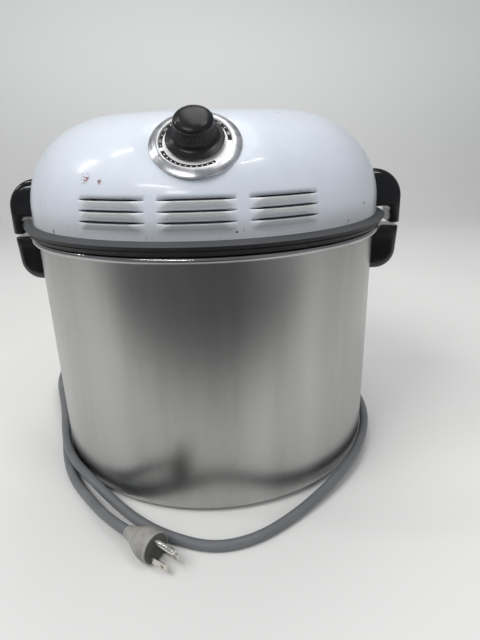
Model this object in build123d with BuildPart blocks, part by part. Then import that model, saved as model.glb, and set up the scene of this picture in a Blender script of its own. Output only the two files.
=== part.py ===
from build123d import *

import os
from math import atan2, ceil, cos, degrees, pi, radians, sin, tan

# Deep fryer: a drawn aluminium kettle with a lift-off electric head.
# Millimetres, +Z up, origin at the centre of the kettle's base, dial towards -Y.

# Kettle
KETTLE_R = 165.0
KETTLE_FOOT_R = 162.0
KETTLE_WALL = 2.0
KETTLE_FLOOR = 3.0
BASE_CORNER = 11.0
BASE_FACETS = 2
INNER_CORNER = 8.0
BEAD_R = 3.0
BEAD_Z = 231.2
BEAD_FACETS = 3
KETTLE_SIDES = 72
RIM_TOP = BEAD_Z + BEAD_R

# Head cover
COVER_R = 167.6
COVER_SHEET = 1.2
COVER_EDGE_Z = 238.0
SHOULDER_Z = 256.9
SHOULDER_LOW_R = 77.2
SHOULDER_HIGH_R = 88.7
SHOULDER_JOIN = 45.0
CROWN_SLOPE = 5.0
CROWN_FLAT_R = 30.0
COVER_BANDS = 8
COVER_SIDES = 72
CAVITY_BANDS = 4
CAVITY_SIDES = 48

# Louvres: rows of raised lips, open along their upper edges
LOUVRE_ROWS = (274.3, 266.2, 258.1)
LOUVRE_GROUPS = (-23.2, 0.0, 23.2)
LOUVRE_ARC = 20.5
LOUVRE_DROP = 6.2
LOUVRE_REACH = 3.4
LOUVRE_SHEET = 1.0

# Rim gasket and splash plate
SEAT_GAP = 0.3
GASKET_BOTTOM = RIM_TOP + SEAT_GAP
GASKET_TOP = 245.4
GASKET_CREST_R = 176.0
GASKET_CREST_Z = 242.6
GASKET_FOOT_R = 170.5
GASKET_LIP_R = 162.7
GASKET_LIP_DROP = 5.5
GASKET_INNER_R = 160.5
PLATE_SHEET = 1.5
PLATE_Z = COVER_EDGE_Z
PLATE_TOP = PLATE_Z + PLATE_SHEET

# Dial, knob and thermostat, measured along the dial's own axis
DIAL_TILT = 48.5
DIAL_FLAT_DEPTH = 5.0
DIAL_R = 34.5
DIAL_EDGE = 1.6
DIAL_RING_R = 27.6
DIAL_RING_TOP = 4.2
DIAL_BAND_R = 27.0
DIAL_BAND_TOP = 3.0
DIAL_SIDES = 48
KNOB_BOTTOM = 4.6
KNOB_SKIRT_R = 22.0
KNOB_SKIRT_EDGE = 1.8
KNOB_NECK_R = 15.8
KNOB_NECK_TOP = 10.6
KNOB_CAP_R = 14.3
KNOB_CAP_TOP = 22.5
KNOB_CROWN_R = 10.2
KNOB_TOP = 26.6
KNOB_FLUTES = 40
SHAFT_R = 3.0
SHAFT_LOW = -14.0
SHAFT_HIGH = 20.0
RUN_FIT = 0.05
BUSH_R = 5.0
BUSH_HOLE_R = 5.2
BUSH_NUT_R = 7.5
BUSH_NUT = 1.2
STAT_WIDTH = 44.0
STAT_HEIGHT = 34.0
STAT_DEPTH = 24.0
DIAPHRAGM_R = 11.0
DIAPHRAGM_DEPTH = 5.0

# Handles
HANDLE_HALF_ROOT = 20.0
HANDLE_HALF_TIP = 16.0
HANDLE_CORNER = 6.0
HANDLE_ROOT_X = 140.0
HANDLE_TIP_X = 195.0
HANDLE_FIT = 0.05
HEAD_HANDLE_LOW = 229.0
HEAD_HANDLE_ROOF = 246.0
HEAD_HANDLE_TOP = 282.0
HEAD_HANDLE_LIP_X = 184.5
HEAD_HANDLE_SHOULDER = 27.0
NOTCH_ROUND = 5.0
KETTLE_HANDLE_TOP = 226.0
KETTLE_HANDLE_LOW = 182.0
KETTLE_HANDLE_TOP_X = 194.5
KETTLE_HANDLE_HEEL_X = 191.5
KETTLE_HANDLE_ROUND = 20.0

# Screws and small round fittings, drawn with flat sides
SCREW_SIDES = 6
FITTING_SIDES = 12
SCREW_R = 2.0
SCREW_HOLE_R = 2.1
SCREW_HEAD_R = 4.0
SCREW_HEAD = 2.4
HANDLE_SCREW_Y = 9.0
HOLE_REACH = 6.0
HEAD_SCREW_Z = 257.0
HEAD_SCREW_X = 164.0
KETTLE_SCREW_Z = 205.0
KETTLE_SCREW_X = 161.3
HANDLE_SCREW_LENGTH = 20.0

# Brackets between cover and splash plate
BRACKET_ANGLES = (30.0, 150.0, 270.0)
BRACKET_WIDTH = 16.0
BRACKET_INNER_R = 144.0
BRACKET_TOP = 254.0
BRACKET_SHEET = 1.6
BRACKET_SCREW_R = 152.0
PLATE_SCREW_TOP = 250.0

# Heating element: a ring with two legs at the back
RING_R = 142.0
RING_Z = 40.0
RING_GAP = 16.6
TUBE_R = 4.0
TUBE_SIDES = 6
RING_CHORDS = 30
LEG_BEND = 14.0
LEG_TOP = 250.0
NUT_R = 8.0
NUT_TOP = 247.0
PIN_R = 2.0
PIN_TOP = 264.0
INSULATOR_R = 3.4
INSULATOR_TOP = 256.0

# Temperature sensor
BULB_X = -62.0
BULB_Y = -127.0
BULB_R = 4.0
BULB_LOW = 76.0
BULB_TOP = 158.0
STEM_R = 2.0
STEM_TOP = 252.0
GLAND_R = 6.5
GLAND_TOP = 246.0
CAPILLARY = 2.0

# Wiring in the head
BLOCK_WIDTH = 52.0
BLOCK_DEPTH = 18.0
BLOCK_HEIGHT = 16.0
BLOCK_Y = 106.0
BLOCK_TOP = PLATE_TOP + BLOCK_HEIGHT
BLOCK_SLOT = 2.0
WIRE = 2.2
WIRE_ROOF = 276.0
CORD_WIRES = (-2.8, 0.0, 2.8)
STAT_WIRES = (-12.0, 12.0)

# Cord and its way into the head
CORD_R = 4.5
CORD_SIDES = 6
EXIT_Z = 262.0
INLET_INNER_Y = 136.0
RELIEF_FLANGE_Y = 168.2
RELIEF_FLANGE = 3.0
RELIEF_FLANGE_R = 11.5
RELIEF_PLUG_R = 9.0
RELIEF_HOLE_R = 9.1
RELIEF_INNER_Y = 158.0
RELIEF_STEPS = (8.2, 7.4, 6.6)
RELIEF_END_Y = 200.0
CORD_GAP = 0.3

# Route of the cord's centre line, from the head to the plug
CORD_ROUTE = [
    (0, RELIEF_END_Y + CORD_GAP, EXIT_Z),
    (0, 237, EXIT_Z),
    (-16, 268, 252),
    (-50, 288, 226),
    (-90, 290, 190),
    (-130, 275, 145),
    (-165, 246, 100),
    (-192, 206, 58),
    (-210, 160, 28),
    (-214, 118, 15),
    (-206, 81, 14.2),
    (-181, 16, 14.2),
    (-160, -54, 14.2),
    (-141, -92.5, 14.2),
    (-117, -121.5, 13),
    (-92, -146, 6),
    (-64, -174, 4.6),
    (-35, -194, 4.6),
    (0, -208, 4.6),
    (34, -201, 4.6),
    (66, -178.5, 5),
    (97, -150, 8),
    (126, -117, 12),
    (149, -80, 14.5),
    (165, -36, 16),
    (170.5, 8, 17),
    (165, 50, 18),
    (148, 90, 18),
    (120, 126, 17),
    (80, 156, 14),
    (32, 176, 9),
    (-20, 184, 4.6),
    (-75, 184, 4.6),
    (-130, 174, 4.6),
    (-178, 142, 4.6),
    (-203, 98, 4.6),
    (-197, 60, 4.6),
    (-175, -5, 4.6),
    (-153, -78, 4.6),
    (-134, -116, 4.6),
    (-109, -149, 5.5),
    (-86.2, -181.3, 13.5),
    (-69, -195, 13.5),
]
ARC_SHARE = 0.45
CORD_SAMPLES = 800
CORD_NEAR_RUN = 60.0

# Plug
PLUG_LENGTH = 33.0
PLUG_NECK_R = 7.0
PLUG_GRIP_R = 13.3
PLUG_GRIP_START = 10.0
PLUG_SLOPE = 7.0
PLUG_SLOPE_IN = 5.5
PLUG_SIDES = 16
BLADE_PITCH = 12.7
BLADE_WIDTH = 6.4
BLADE_THICK = 1.5
BLADE_LENGTH = 17.5
BLADE_DROP = 4.9
BLADE_HOLE_R = 1.6
BLADE_HOLE_INSET = 4.3
EARTH_RISE = 7.0
EARTH_R = 2.4
EARTH_LENGTH = 20.6

# Basket and its bail
BASKET_R = 118.0
BASKET_RIM = 4.0
BASKET_TOP = 108.0
BASKET_BASE_R = 111.0
BASKET_BASE_Z = 12.0
BASKET_WIRE = 3.0
HOOP_SIDES = 20
BASKET_RIBS = 8
BASKET_HUB_R = 30.0
FOOT = 4.0
FOOT_COUNT = 4
EAR_WIDTH = 14.0
EAR_THICK = 2.5
EAR_X = 113.0
EAR_TOP = 118.0
BAIL_WIRE = 4.0
BAIL_R = 2.0
BAIL_Z = BASKET_TOP + BAIL_R + SEAT_GAP
BAIL_LEG_X = 109.0
BAIL_BOW_Y = 7.4
BAIL_CHORDS = 12
BAIL_PIN_X = 118.5


def save(piece, name):
    """Name a finished piece and write it to its own file."""
    piece.part.label = name
    export_step(piece.part, f"parts/{name}.step")


def facets(centre, radius, start, stop, count):
    """Return points on a circular arc between two angles in degrees, ends included."""
    step = (stop - start) / count
    angles = [radians(start + step * index) for index in range(count + 1)]
    return [(centre[0] + radius * cos(angle), centre[1] + radius * sin(angle)) for angle in angles]


def dome_point(lean, grow):
    """Return radius and height on the dome where its wall leans in by an angle in degrees."""
    join = radians(SHOULDER_JOIN)
    low = radians(min(lean, SHOULDER_JOIN))
    high = radians(max(lean, SHOULDER_JOIN))
    across = SHOULDER_LOW_R * (1 - cos(low)) + SHOULDER_HIGH_R * (cos(join) - cos(high))
    up = SHOULDER_LOW_R * sin(low) + SHOULDER_HIGH_R * (sin(high) - sin(join))
    outwards = grow * cos(radians(lean))
    upwards = grow * sin(radians(lean))
    return COVER_R - across + outwards, SHOULDER_Z + up + upwards


def dome_profile(grow, bands):
    """Return radius and height up the dome, from the cover's edge to its flat top."""
    lean = (90 - CROWN_SLOPE) / bands
    shoulder = [dome_point(lean * band, grow) for band in range(bands + 1)]
    crown_r, crown_foot = shoulder[-1]
    crown_top = crown_foot + crown_r * tan(radians(CROWN_SLOPE / 2))
    return [(COVER_R + grow, COVER_EDGE_Z), *shoulder, (CROWN_FLAT_R, crown_top)]


def dome_radius(height):
    """Return the cover's outer radius at a height on its wall or lower shoulder."""
    climb = max(0.0, height - SHOULDER_Z) / SHOULDER_LOW_R
    return COVER_R - SHOULDER_LOW_R * (1 - (1 - climb**2) ** 0.5)


def slant(low_r, high_r, rise):
    """Return the taper in degrees that brings one radius to another over a rise."""
    return degrees(atan2(low_r - high_r, rise))


def corner_radii(points):
    """Return the largest smooth bend radius at each inner point of a route."""
    radii = []
    for before, here, after in zip(points, points[1:], points[2:]):
        run_in = Vector(*here) - Vector(*before)
        run_out = Vector(*after) - Vector(*here)
        half_turn = radians(run_in.get_angle(run_out)) / 2
        radii.append(ARC_SHARE * min(run_in.length, run_out.length) / tan(half_turn))
    return radii


os.makedirs("parts", exist_ok=True)

# Planes that the dial, knob and thermostat share
dial_axis = Vector(0, -cos(radians(DIAL_TILT)), sin(radians(DIAL_TILT)))
apex_r, apex_z = dome_point(DIAL_TILT, 0)
dial_apex = Vector(0, -apex_r, apex_z)
dial_plane = Plane(dial_apex - dial_axis * DIAL_FLAT_DEPTH, x_dir=(1, 0, 0), z_dir=dial_axis)

# Kettle: slightly tapered wall, rounded base and a rolled rim
inner_foot_r = KETTLE_FOOT_R - KETTLE_WALL
base_arc = facets((KETTLE_FOOT_R - BASE_CORNER, BASE_CORNER), BASE_CORNER, -90, 0, BASE_FACETS)
wall_profile = [*base_arc, (KETTLE_R, BEAD_Z - BEAD_R)]
bead_profile = facets((KETTLE_R + BEAD_R, BEAD_Z), BEAD_R, -90, 90, BEAD_FACETS)
hollow_profile = [
    (inner_foot_r - INNER_CORNER, KETTLE_FLOOR),
    (inner_foot_r, KETTLE_FLOOR + INNER_CORNER),
    (KETTLE_R - KETTLE_WALL, RIM_TOP),
]
with BuildPart() as kettle:
    for profile, mode in (
        (wall_profile, Mode.ADD),
        (bead_profile, Mode.ADD),
        (hollow_profile, Mode.SUBTRACT),
    ):
        for (low_r, low), (high_r, high) in zip(profile, profile[1:]):
            with BuildSketch(Plane.XY.offset(low)):
                RegularPolygon(low_r, KETTLE_SIDES, major_radius=False)
            extrude(amount=high - low, taper=slant(low_r, high_r, high - low), mode=mode)
    for side in (-1, 1):
        with BuildSketch(Plane.YZ.offset(side * KETTLE_R)):
            with Locations((-HANDLE_SCREW_Y, KETTLE_SCREW_Z), (HANDLE_SCREW_Y, KETTLE_SCREW_Z)):
                RegularPolygon(SCREW_HOLE_R, SCREW_SIDES, major_radius=False)
        extrude(amount=HOLE_REACH, both=True, mode=Mode.SUBTRACT)
save(kettle, "kettle")

# Dome forms: the cover's outside and its hollow
dome_sizes = {
    "outside": (0, COVER_BANDS, COVER_SIDES),
    "hollow": (-COVER_SHEET, CAVITY_BANDS, CAVITY_SIDES),
}
dome_forms = {}
for form_name, (grow, bands, sides) in dome_sizes.items():
    profile = dome_profile(grow, bands)
    with BuildPart() as dome_form:
        for (low_r, low), (high_r, high) in zip(profile, profile[1:]):
            with BuildSketch(Plane.XY.offset(low)):
                RegularPolygon(low_r, sides)
            inwards = (low_r - high_r) * cos(pi / sides)
            extrude(amount=high - low, taper=slant(inwards, 0, high - low))
        with BuildSketch(dial_plane.offset(grow)):
            Rectangle(COVER_R, COVER_R)
        extrude(amount=COVER_R, mode=Mode.SUBTRACT)
    dome_forms[form_name] = dome_form.part

# Head cover: pressed dome with a flat seat for the dial and lanced louvres
with BuildPart() as head_cover:
    add(dome_forms["outside"])
    for row in LOUVRE_ROWS:
        foot_r = dome_radius(row - LOUVRE_DROP) - COVER_SHEET / 2
        lip_r = dome_radius(row) + LOUVRE_REACH
        root_r = dome_radius(row) - COVER_SHEET / 2
        for group in LOUVRE_GROUPS:
            start = -90 + group - LOUVRE_ARC / 2
            with BuildSketch(Plane.XZ.rotated((0, 0, start))):
                Polygon((foot_r, row - LOUVRE_DROP), (lip_r, row), (root_r, row), align=None)
            revolve(axis=Axis.Z, revolution_arc=LOUVRE_ARC)
    add(dome_forms["hollow"], mode=Mode.SUBTRACT)
    for row in LOUVRE_ROWS:
        foot_r = dome_radius(row - LOUVRE_DROP) - COVER_SHEET
        lip_r = dome_radius(row) + LOUVRE_REACH - LOUVRE_SHEET
        root_r = dome_radius(row) - 2 * COVER_SHEET
        cheek = degrees(LOUVRE_SHEET / COVER_R)
        for group in LOUVRE_GROUPS:
            start = -90 + group - LOUVRE_ARC / 2 + cheek
            with BuildSketch(Plane.XZ.rotated((0, 0, start))):
                Polygon(
                    (root_r, row - LOUVRE_DROP + LOUVRE_SHEET),
                    (foot_r, row - LOUVRE_DROP + LOUVRE_SHEET),
                    (lip_r, row),
                    (root_r, row),
                    align=None,
                )
            revolve(axis=Axis.Z, revolution_arc=LOUVRE_ARC - 2 * cheek, mode=Mode.SUBTRACT)
    with BuildSketch(dial_plane):
        RegularPolygon(BUSH_HOLE_R, FITTING_SIDES, major_radius=False)
    extrude(amount=-DIAL_R, mode=Mode.SUBTRACT)
    with BuildSketch(Plane.XZ.offset(-COVER_R)):
        with Locations((0, EXIT_Z)):
            RegularPolygon(RELIEF_HOLE_R, FITTING_SIDES, major_radius=False)
    extrude(amount=HOLE_REACH, both=True, mode=Mode.SUBTRACT)
    for side in (-1, 1):
        with BuildSketch(Plane.YZ.offset(side * COVER_R)):
            with Locations((-HANDLE_SCREW_Y, HEAD_SCREW_Z), (HANDLE_SCREW_Y, HEAD_SCREW_Z)):
                RegularPolygon(SCREW_HOLE_R, SCREW_SIDES, major_radius=False)
        extrude(amount=HOLE_REACH, both=True, mode=Mode.SUBTRACT)
save(head_cover, "head_cover")

# Rim gasket: a rubber ring round the cover's edge, with a lip inside the kettle's rim
with BuildPart() as rim_gasket:
    with BuildSketch(Plane.XZ):
        Polygon(
            (COVER_R + HANDLE_FIT, GASKET_TOP),
            (GASKET_CREST_R, GASKET_CREST_Z),
            (GASKET_FOOT_R, GASKET_BOTTOM),
            (GASKET_LIP_R, GASKET_BOTTOM),
            (GASKET_INNER_R, GASKET_BOTTOM - GASKET_LIP_DROP),
            (GASKET_INNER_R, PLATE_Z),
            (COVER_R + HANDLE_FIT, PLATE_Z),
            align=None,
        )
    revolve(axis=Axis.Z)
save(rim_gasket, "rim_gasket")

# Splash plate: closes the head and carries the heater and the sensor
ring_points = facets((0, 0), RING_R, 90 + RING_GAP, 450 - RING_GAP, RING_CHORDS)
ring_foot = Vector(*ring_points[0])
leg_place = ring_foot + (ring_foot - Vector(*ring_points[1])).normalized() * LEG_BEND
leg_x = -leg_place.X
leg_y = leg_place.Y
with BuildPart() as splash_plate:
    with BuildSketch(Plane.XY.offset(PLATE_Z)):
        RegularPolygon(COVER_R - COVER_SHEET - HANDLE_FIT, CAVITY_SIDES)
        with Locations((-leg_x, leg_y), (leg_x, leg_y)):
            RegularPolygon(TUBE_R + HANDLE_FIT, FITTING_SIDES, major_radius=False, mode=Mode.SUBTRACT)
        with Locations((BULB_X, BULB_Y)):
            RegularPolygon(STEM_R + HANDLE_FIT, FITTING_SIDES, major_radius=False, mode=Mode.SUBTRACT)
        for angle in BRACKET_ANGLES:
            with Locations(Vector(BRACKET_SCREW_R, 0).rotate(Axis.Z, angle)):
                RegularPolygon(SCREW_HOLE_R, SCREW_SIDES, major_radius=False, mode=Mode.SUBTRACT)
    extrude(amount=PLATE_SHEET)
save(splash_plate, "splash_plate")

# Brackets welded inside the cover, and the screws that pull the plate up to them
with BuildPart() as cover_brackets:
    for angle in BRACKET_ANGLES:
        with BuildSketch(Plane.XZ.rotated((0, 0, angle))):
            Polygon(
                (BRACKET_INNER_R, PLATE_TOP),
                (COVER_R, PLATE_TOP),
                (COVER_R, BRACKET_TOP),
                (COVER_R - COVER_SHEET - BRACKET_SHEET, BRACKET_TOP),
                (COVER_R - COVER_SHEET - BRACKET_SHEET, PLATE_TOP + BRACKET_SHEET),
                (BRACKET_INNER_R, PLATE_TOP + BRACKET_SHEET),
                align=None,
            )
        extrude(amount=BRACKET_WIDTH / 2, both=True)
        with BuildSketch(Plane.XY.offset(PLATE_TOP)):
            with Locations(Vector(BRACKET_SCREW_R, 0).rotate(Axis.Z, angle)):
                RegularPolygon(SCREW_HOLE_R, SCREW_SIDES, major_radius=False)
        extrude(amount=BRACKET_SHEET, mode=Mode.SUBTRACT)
    add(dome_forms["hollow"], mode=Mode.INTERSECT)
save(cover_brackets, "cover_brackets")

with BuildPart() as splash_plate_screws:
    for angle in BRACKET_ANGLES:
        centre = Vector(BRACKET_SCREW_R, 0).rotate(Axis.Z, angle)
        with BuildSketch(Plane.XY.offset(PLATE_Z - SCREW_HEAD)):
            with Locations(centre):
                RegularPolygon(SCREW_HEAD_R, SCREW_SIDES, major_radius=False)
        extrude(amount=SCREW_HEAD)
        with BuildSketch(Plane.XY.offset(PLATE_Z)):
            with Locations(centre):
                RegularPolygon(SCREW_R, SCREW_SIDES, major_radius=False)
        extrude(amount=PLATE_SCREW_TOP - PLATE_Z)
save(splash_plate_screws, "splash_plate_screws")

# Head handles: ears that reach out and down past the gasket
with BuildPart() as head_handle_right:
    with BuildSketch(Plane.XZ):
        with BuildLine():
            FilletPolyline(
                (HANDLE_ROOT_X, HEAD_HANDLE_ROOF),
                (HEAD_HANDLE_LIP_X, HEAD_HANDLE_ROOF),
                (HEAD_HANDLE_LIP_X, HEAD_HANDLE_LOW),
                (HANDLE_TIP_X, HEAD_HANDLE_LOW),
                (HANDLE_TIP_X, HEAD_HANDLE_TOP),
                (HANDLE_ROOT_X, HEAD_HANDLE_TOP),
                radius=[NOTCH_ROUND, 0, 0, HEAD_HANDLE_SHOULDER],
            )
            Line((HANDLE_ROOT_X, HEAD_HANDLE_TOP), (HANDLE_ROOT_X, HEAD_HANDLE_ROOF))
        make_face()
    extrude(amount=HANDLE_HALF_ROOT, both=True)
    with BuildSketch(Plane.XY.offset(HEAD_HANDLE_LOW)):
        Polygon(
            (HANDLE_ROOT_X, -HANDLE_HALF_ROOT),
            (HANDLE_TIP_X, -HANDLE_HALF_TIP),
            (HANDLE_TIP_X, HANDLE_HALF_TIP),
            (HANDLE_ROOT_X, HANDLE_HALF_ROOT),
            align=None,
        )
        fillet(vertices().group_by(Axis.X)[-1], HANDLE_CORNER)
    extrude(amount=HEAD_HANDLE_TOP - HEAD_HANDLE_LOW, mode=Mode.INTERSECT)
    add(dome_forms["outside"], mode=Mode.SUBTRACT)
    for spot in (-HANDLE_SCREW_Y, HANDLE_SCREW_Y):
        with BuildSketch(Plane.YZ.offset(HEAD_SCREW_X)):
            with Locations((spot, HEAD_SCREW_Z)):
                RegularPolygon(SCREW_R + HANDLE_FIT, SCREW_SIDES, major_radius=False)
        extrude(amount=HANDLE_SCREW_LENGTH + SCREW_R, mode=Mode.SUBTRACT)
save(head_handle_right, "head_handle_right")

with BuildPart() as head_handle_left:
    mirror(head_handle_right.part, about=Plane.YZ)
save(head_handle_left, "head_handle_left")

# Kettle handles: flat on top, rounded below
with BuildPart() as kettle_handle_right:
    with BuildSketch(Plane.XZ):
        with BuildLine():
            FilletPolyline(
                (HANDLE_ROOT_X, KETTLE_HANDLE_LOW),
                (KETTLE_HANDLE_HEEL_X, KETTLE_HANDLE_LOW),
                (KETTLE_HANDLE_TOP_X, KETTLE_HANDLE_TOP),
                radius=KETTLE_HANDLE_ROUND,
            )
            Polyline(
                (KETTLE_HANDLE_TOP_X, KETTLE_HANDLE_TOP),
                (HANDLE_ROOT_X, KETTLE_HANDLE_TOP),
                (HANDLE_ROOT_X, KETTLE_HANDLE_LOW),
            )
        make_face()
    extrude(amount=HANDLE_HALF_ROOT, both=True)
    with BuildSketch(Plane.XY.offset(KETTLE_HANDLE_LOW)):
        Polygon(
            (HANDLE_ROOT_X, -HANDLE_HALF_ROOT),
            (HANDLE_TIP_X, -HANDLE_HALF_TIP),
            (HANDLE_TIP_X, HANDLE_HALF_TIP),
            (HANDLE_ROOT_X, HANDLE_HALF_ROOT),
            align=None,
        )
        fillet(vertices().group_by(Axis.X)[-1], HANDLE_CORNER)
    extrude(amount=KETTLE_HANDLE_TOP - KETTLE_HANDLE_LOW, mode=Mode.INTERSECT)
    wall_rise = BEAD_Z - BEAD_R - BASE_CORNER
    wall_lean = slant(KETTLE_FOOT_R, KETTLE_R, wall_rise)
    with BuildSketch(Plane.XY.offset(BASE_CORNER)):
        RegularPolygon(KETTLE_FOOT_R + HANDLE_FIT, KETTLE_SIDES, major_radius=False)
    extrude(amount=wall_rise, taper=wall_lean, mode=Mode.SUBTRACT)
    for spot in (-HANDLE_SCREW_Y, HANDLE_SCREW_Y):
        with BuildSketch(Plane.YZ.offset(KETTLE_SCREW_X)):
            with Locations((spot, KETTLE_SCREW_Z)):
                RegularPolygon(SCREW_R + HANDLE_FIT, SCREW_SIDES, major_radius=False)
        extrude(amount=HANDLE_SCREW_LENGTH + SCREW_R, mode=Mode.SUBTRACT)
save(kettle_handle_right, "kettle_handle_right")

with BuildPart() as kettle_handle_left:
    mirror(kettle_handle_right.part, about=Plane.YZ)
save(kettle_handle_left, "kettle_handle_left")

# Handle screws: two on each side, their heads inside the walls
screw_sets = (
    ("head_handle_screws", HEAD_SCREW_X, HEAD_SCREW_Z),
    ("kettle_handle_screws", KETTLE_SCREW_X, KETTLE_SCREW_Z),
)
for name, wall_x, height in screw_sets:
    with BuildPart() as handle_screws:
        for side in (-1, 1):
            with BuildSketch(Plane.YZ.offset(side * wall_x)):
                with Locations((-HANDLE_SCREW_Y, height), (HANDLE_SCREW_Y, height)):
                    RegularPolygon(SCREW_HEAD_R, SCREW_SIDES, major_radius=False)
            extrude(amount=-side * SCREW_HEAD)
            with BuildSketch(Plane.YZ.offset(side * wall_x)):
                with Locations((-HANDLE_SCREW_Y, height), (HANDLE_SCREW_Y, height)):
                    RegularPolygon(SCREW_R, SCREW_SIDES, major_radius=False)
            extrude(amount=side * HANDLE_SCREW_LENGTH)
    save(handle_screws, name)

# Dial plate: a spun ring that slopes down to its edge, round a flat printed band
with BuildPart() as dial_plate:
    with BuildSketch(dial_plane):
        RegularPolygon(DIAL_R, DIAL_SIDES, major_radius=False)
    extrude(amount=DIAL_EDGE)
    ring_rise = DIAL_RING_TOP - DIAL_EDGE
    with BuildSketch(dial_plane.offset(DIAL_EDGE)):
        RegularPolygon(DIAL_R, DIAL_SIDES, major_radius=False)
    extrude(amount=ring_rise, taper=slant(DIAL_R, DIAL_RING_R, ring_rise))
    band_drop = DIAL_RING_TOP - DIAL_BAND_TOP
    with BuildSketch(dial_plane.offset(DIAL_BAND_TOP)):
        RegularPolygon(DIAL_BAND_R, DIAL_SIDES, major_radius=False)
    extrude(amount=band_drop, taper=slant(DIAL_BAND_R, DIAL_RING_R, band_drop), mode=Mode.SUBTRACT)
    with BuildSketch(dial_plane):
        RegularPolygon(BUSH_HOLE_R, FITTING_SIDES, major_radius=False)
    extrude(amount=DIAL_BAND_TOP, mode=Mode.SUBTRACT)
save(dial_plate, "dial_plate")

# Knob: a fluted cap on a flared skirt, pressed on the thermostat's shaft
knob_stages = (
    (KNOB_BOTTOM, KNOB_SKIRT_R),
    (KNOB_BOTTOM + KNOB_SKIRT_EDGE, KNOB_SKIRT_R),
    (KNOB_NECK_TOP, KNOB_NECK_R),
    (KNOB_CAP_TOP, KNOB_CAP_R),
    (KNOB_TOP, KNOB_CROWN_R),
)
with BuildPart() as control_knob:
    for (low, low_r), (high, high_r) in zip(knob_stages, knob_stages[1:]):
        with BuildSketch(dial_plane.offset(low)):
            RegularPolygon(low_r, KNOB_FLUTES, major_radius=False)
        extrude(amount=high - low, taper=slant(low_r, high_r, high - low))
    with BuildSketch(dial_plane.offset(KNOB_BOTTOM)):
        RegularPolygon(SHAFT_R, FITTING_SIDES, major_radius=False)
    extrude(amount=SHAFT_HIGH - KNOB_BOTTOM, mode=Mode.SUBTRACT)
save(control_knob, "control_knob")

with BuildPart() as thermostat_shaft:
    with BuildSketch(dial_plane.offset(SHAFT_LOW)):
        Circle(SHAFT_R)
    extrude(amount=SHAFT_HIGH - SHAFT_LOW)
save(thermostat_shaft, "thermostat_shaft")

# Thermostat: case behind the cover, bush through it, diaphragm at the back
with BuildPart() as thermostat_body:
    with BuildSketch(dial_plane.offset(-COVER_SHEET)):
        Rectangle(STAT_WIDTH, STAT_HEIGHT)
    extrude(amount=-STAT_DEPTH)
    with BuildSketch(dial_plane.offset(-COVER_SHEET - STAT_DEPTH)):
        RegularPolygon(DIAPHRAGM_R, FITTING_SIDES)
    extrude(amount=-DIAPHRAGM_DEPTH)
    with BuildSketch(dial_plane.offset(-COVER_SHEET)):
        RegularPolygon(BUSH_R, FITTING_SIDES, major_radius=False)
    extrude(amount=COVER_SHEET + DIAL_BAND_TOP + BUSH_NUT)
    with BuildSketch(dial_plane.offset(SHAFT_LOW - SEAT_GAP)):
        Circle(SHAFT_R + RUN_FIT)
    extrude(amount=DIAL_R, mode=Mode.SUBTRACT)
save(thermostat_body, "thermostat_body")

with BuildPart() as thermostat_nut:
    with BuildSketch(dial_plane.offset(DIAL_BAND_TOP)):
        RegularPolygon(BUSH_NUT_R, SCREW_SIDES, major_radius=False)
        RegularPolygon(BUSH_R + HANDLE_FIT, FITTING_SIDES, major_radius=False, mode=Mode.SUBTRACT)
    extrude(amount=BUSH_NUT)
save(thermostat_nut, "thermostat_nut")

# Sensor: bulb in the oil, stem through the plate, capillary up to the diaphragm
with BuildPart() as sensing_bulb:
    with BuildSketch(Plane.XY.offset(BULB_LOW)):
        with Locations((BULB_X, BULB_Y)):
            RegularPolygon(BULB_R, FITTING_SIDES)
    extrude(amount=BULB_TOP - BULB_LOW)
save(sensing_bulb, "sensing_bulb")

with BuildPart() as bulb_stem:
    with BuildSketch(Plane.XY.offset(BULB_TOP)):
        with Locations((BULB_X, BULB_Y)):
            RegularPolygon(STEM_R, FITTING_SIDES, major_radius=False)
    extrude(amount=STEM_TOP - BULB_TOP)
save(bulb_stem, "bulb_stem")

with BuildPart() as bulb_gland:
    with BuildSketch(Plane.XY.offset(PLATE_TOP)):
        with Locations((BULB_X, BULB_Y)):
            RegularPolygon(GLAND_R, SCREW_SIDES)
            RegularPolygon(STEM_R + HANDLE_FIT, FITTING_SIDES, major_radius=False, mode=Mode.SUBTRACT)
    extrude(amount=GLAND_TOP - PLATE_TOP)
save(bulb_gland, "bulb_gland")

diaphragm_back = dial_plane.offset(-COVER_SHEET - STAT_DEPTH - DIAPHRAGM_DEPTH)
capillary_end = diaphragm_back.origin
capillary_lead = capillary_end - dial_axis * DIAPHRAGM_R
with BuildPart() as capillary_tube:
    with BuildLine():
        Polyline(
            (BULB_X, BULB_Y, STEM_TOP),
            (BULB_X, BULB_Y, STEM_TOP + DIAPHRAGM_R),
            capillary_lead,
            capillary_end,
        )
    with BuildSketch(Plane.XY.offset(STEM_TOP)):
        with Locations((BULB_X, BULB_Y)):
            Rectangle(CAPILLARY, CAPILLARY)
    sweep(transition=Transition.RIGHT)
save(capillary_tube, "capillary_tube")

# Heating element: two legs bent into one ring, with a flat-sided tube
with BuildPart() as heating_element:
    bend_reach = LEG_BEND * sin(radians(45))
    with BuildLine() as element_path:
        ring = Polyline(*[(x, y, RING_Z) for x, y in ring_points])
        for end, heading in ((0, -1), (1, 1)):
            foot = ring @ end
            along = (ring % end) * heading
            knee = foot + along * LEG_BEND + Vector(0, 0, LEG_BEND)
            middle = foot + along * bend_reach + Vector(0, 0, LEG_BEND - bend_reach)
            ThreePointArc(foot, middle, knee)
            Line(knee, (knee.X, knee.Y, LEG_TOP))
    tube_end = element_path.wire() @ 0
    with BuildSketch(Plane(tube_end, z_dir=(0, 0, -1))):
        RegularPolygon(TUBE_R, TUBE_SIDES)
    sweep(path=element_path.wire(), transition=Transition.RIGHT)
save(heating_element, "heating_element")

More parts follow.
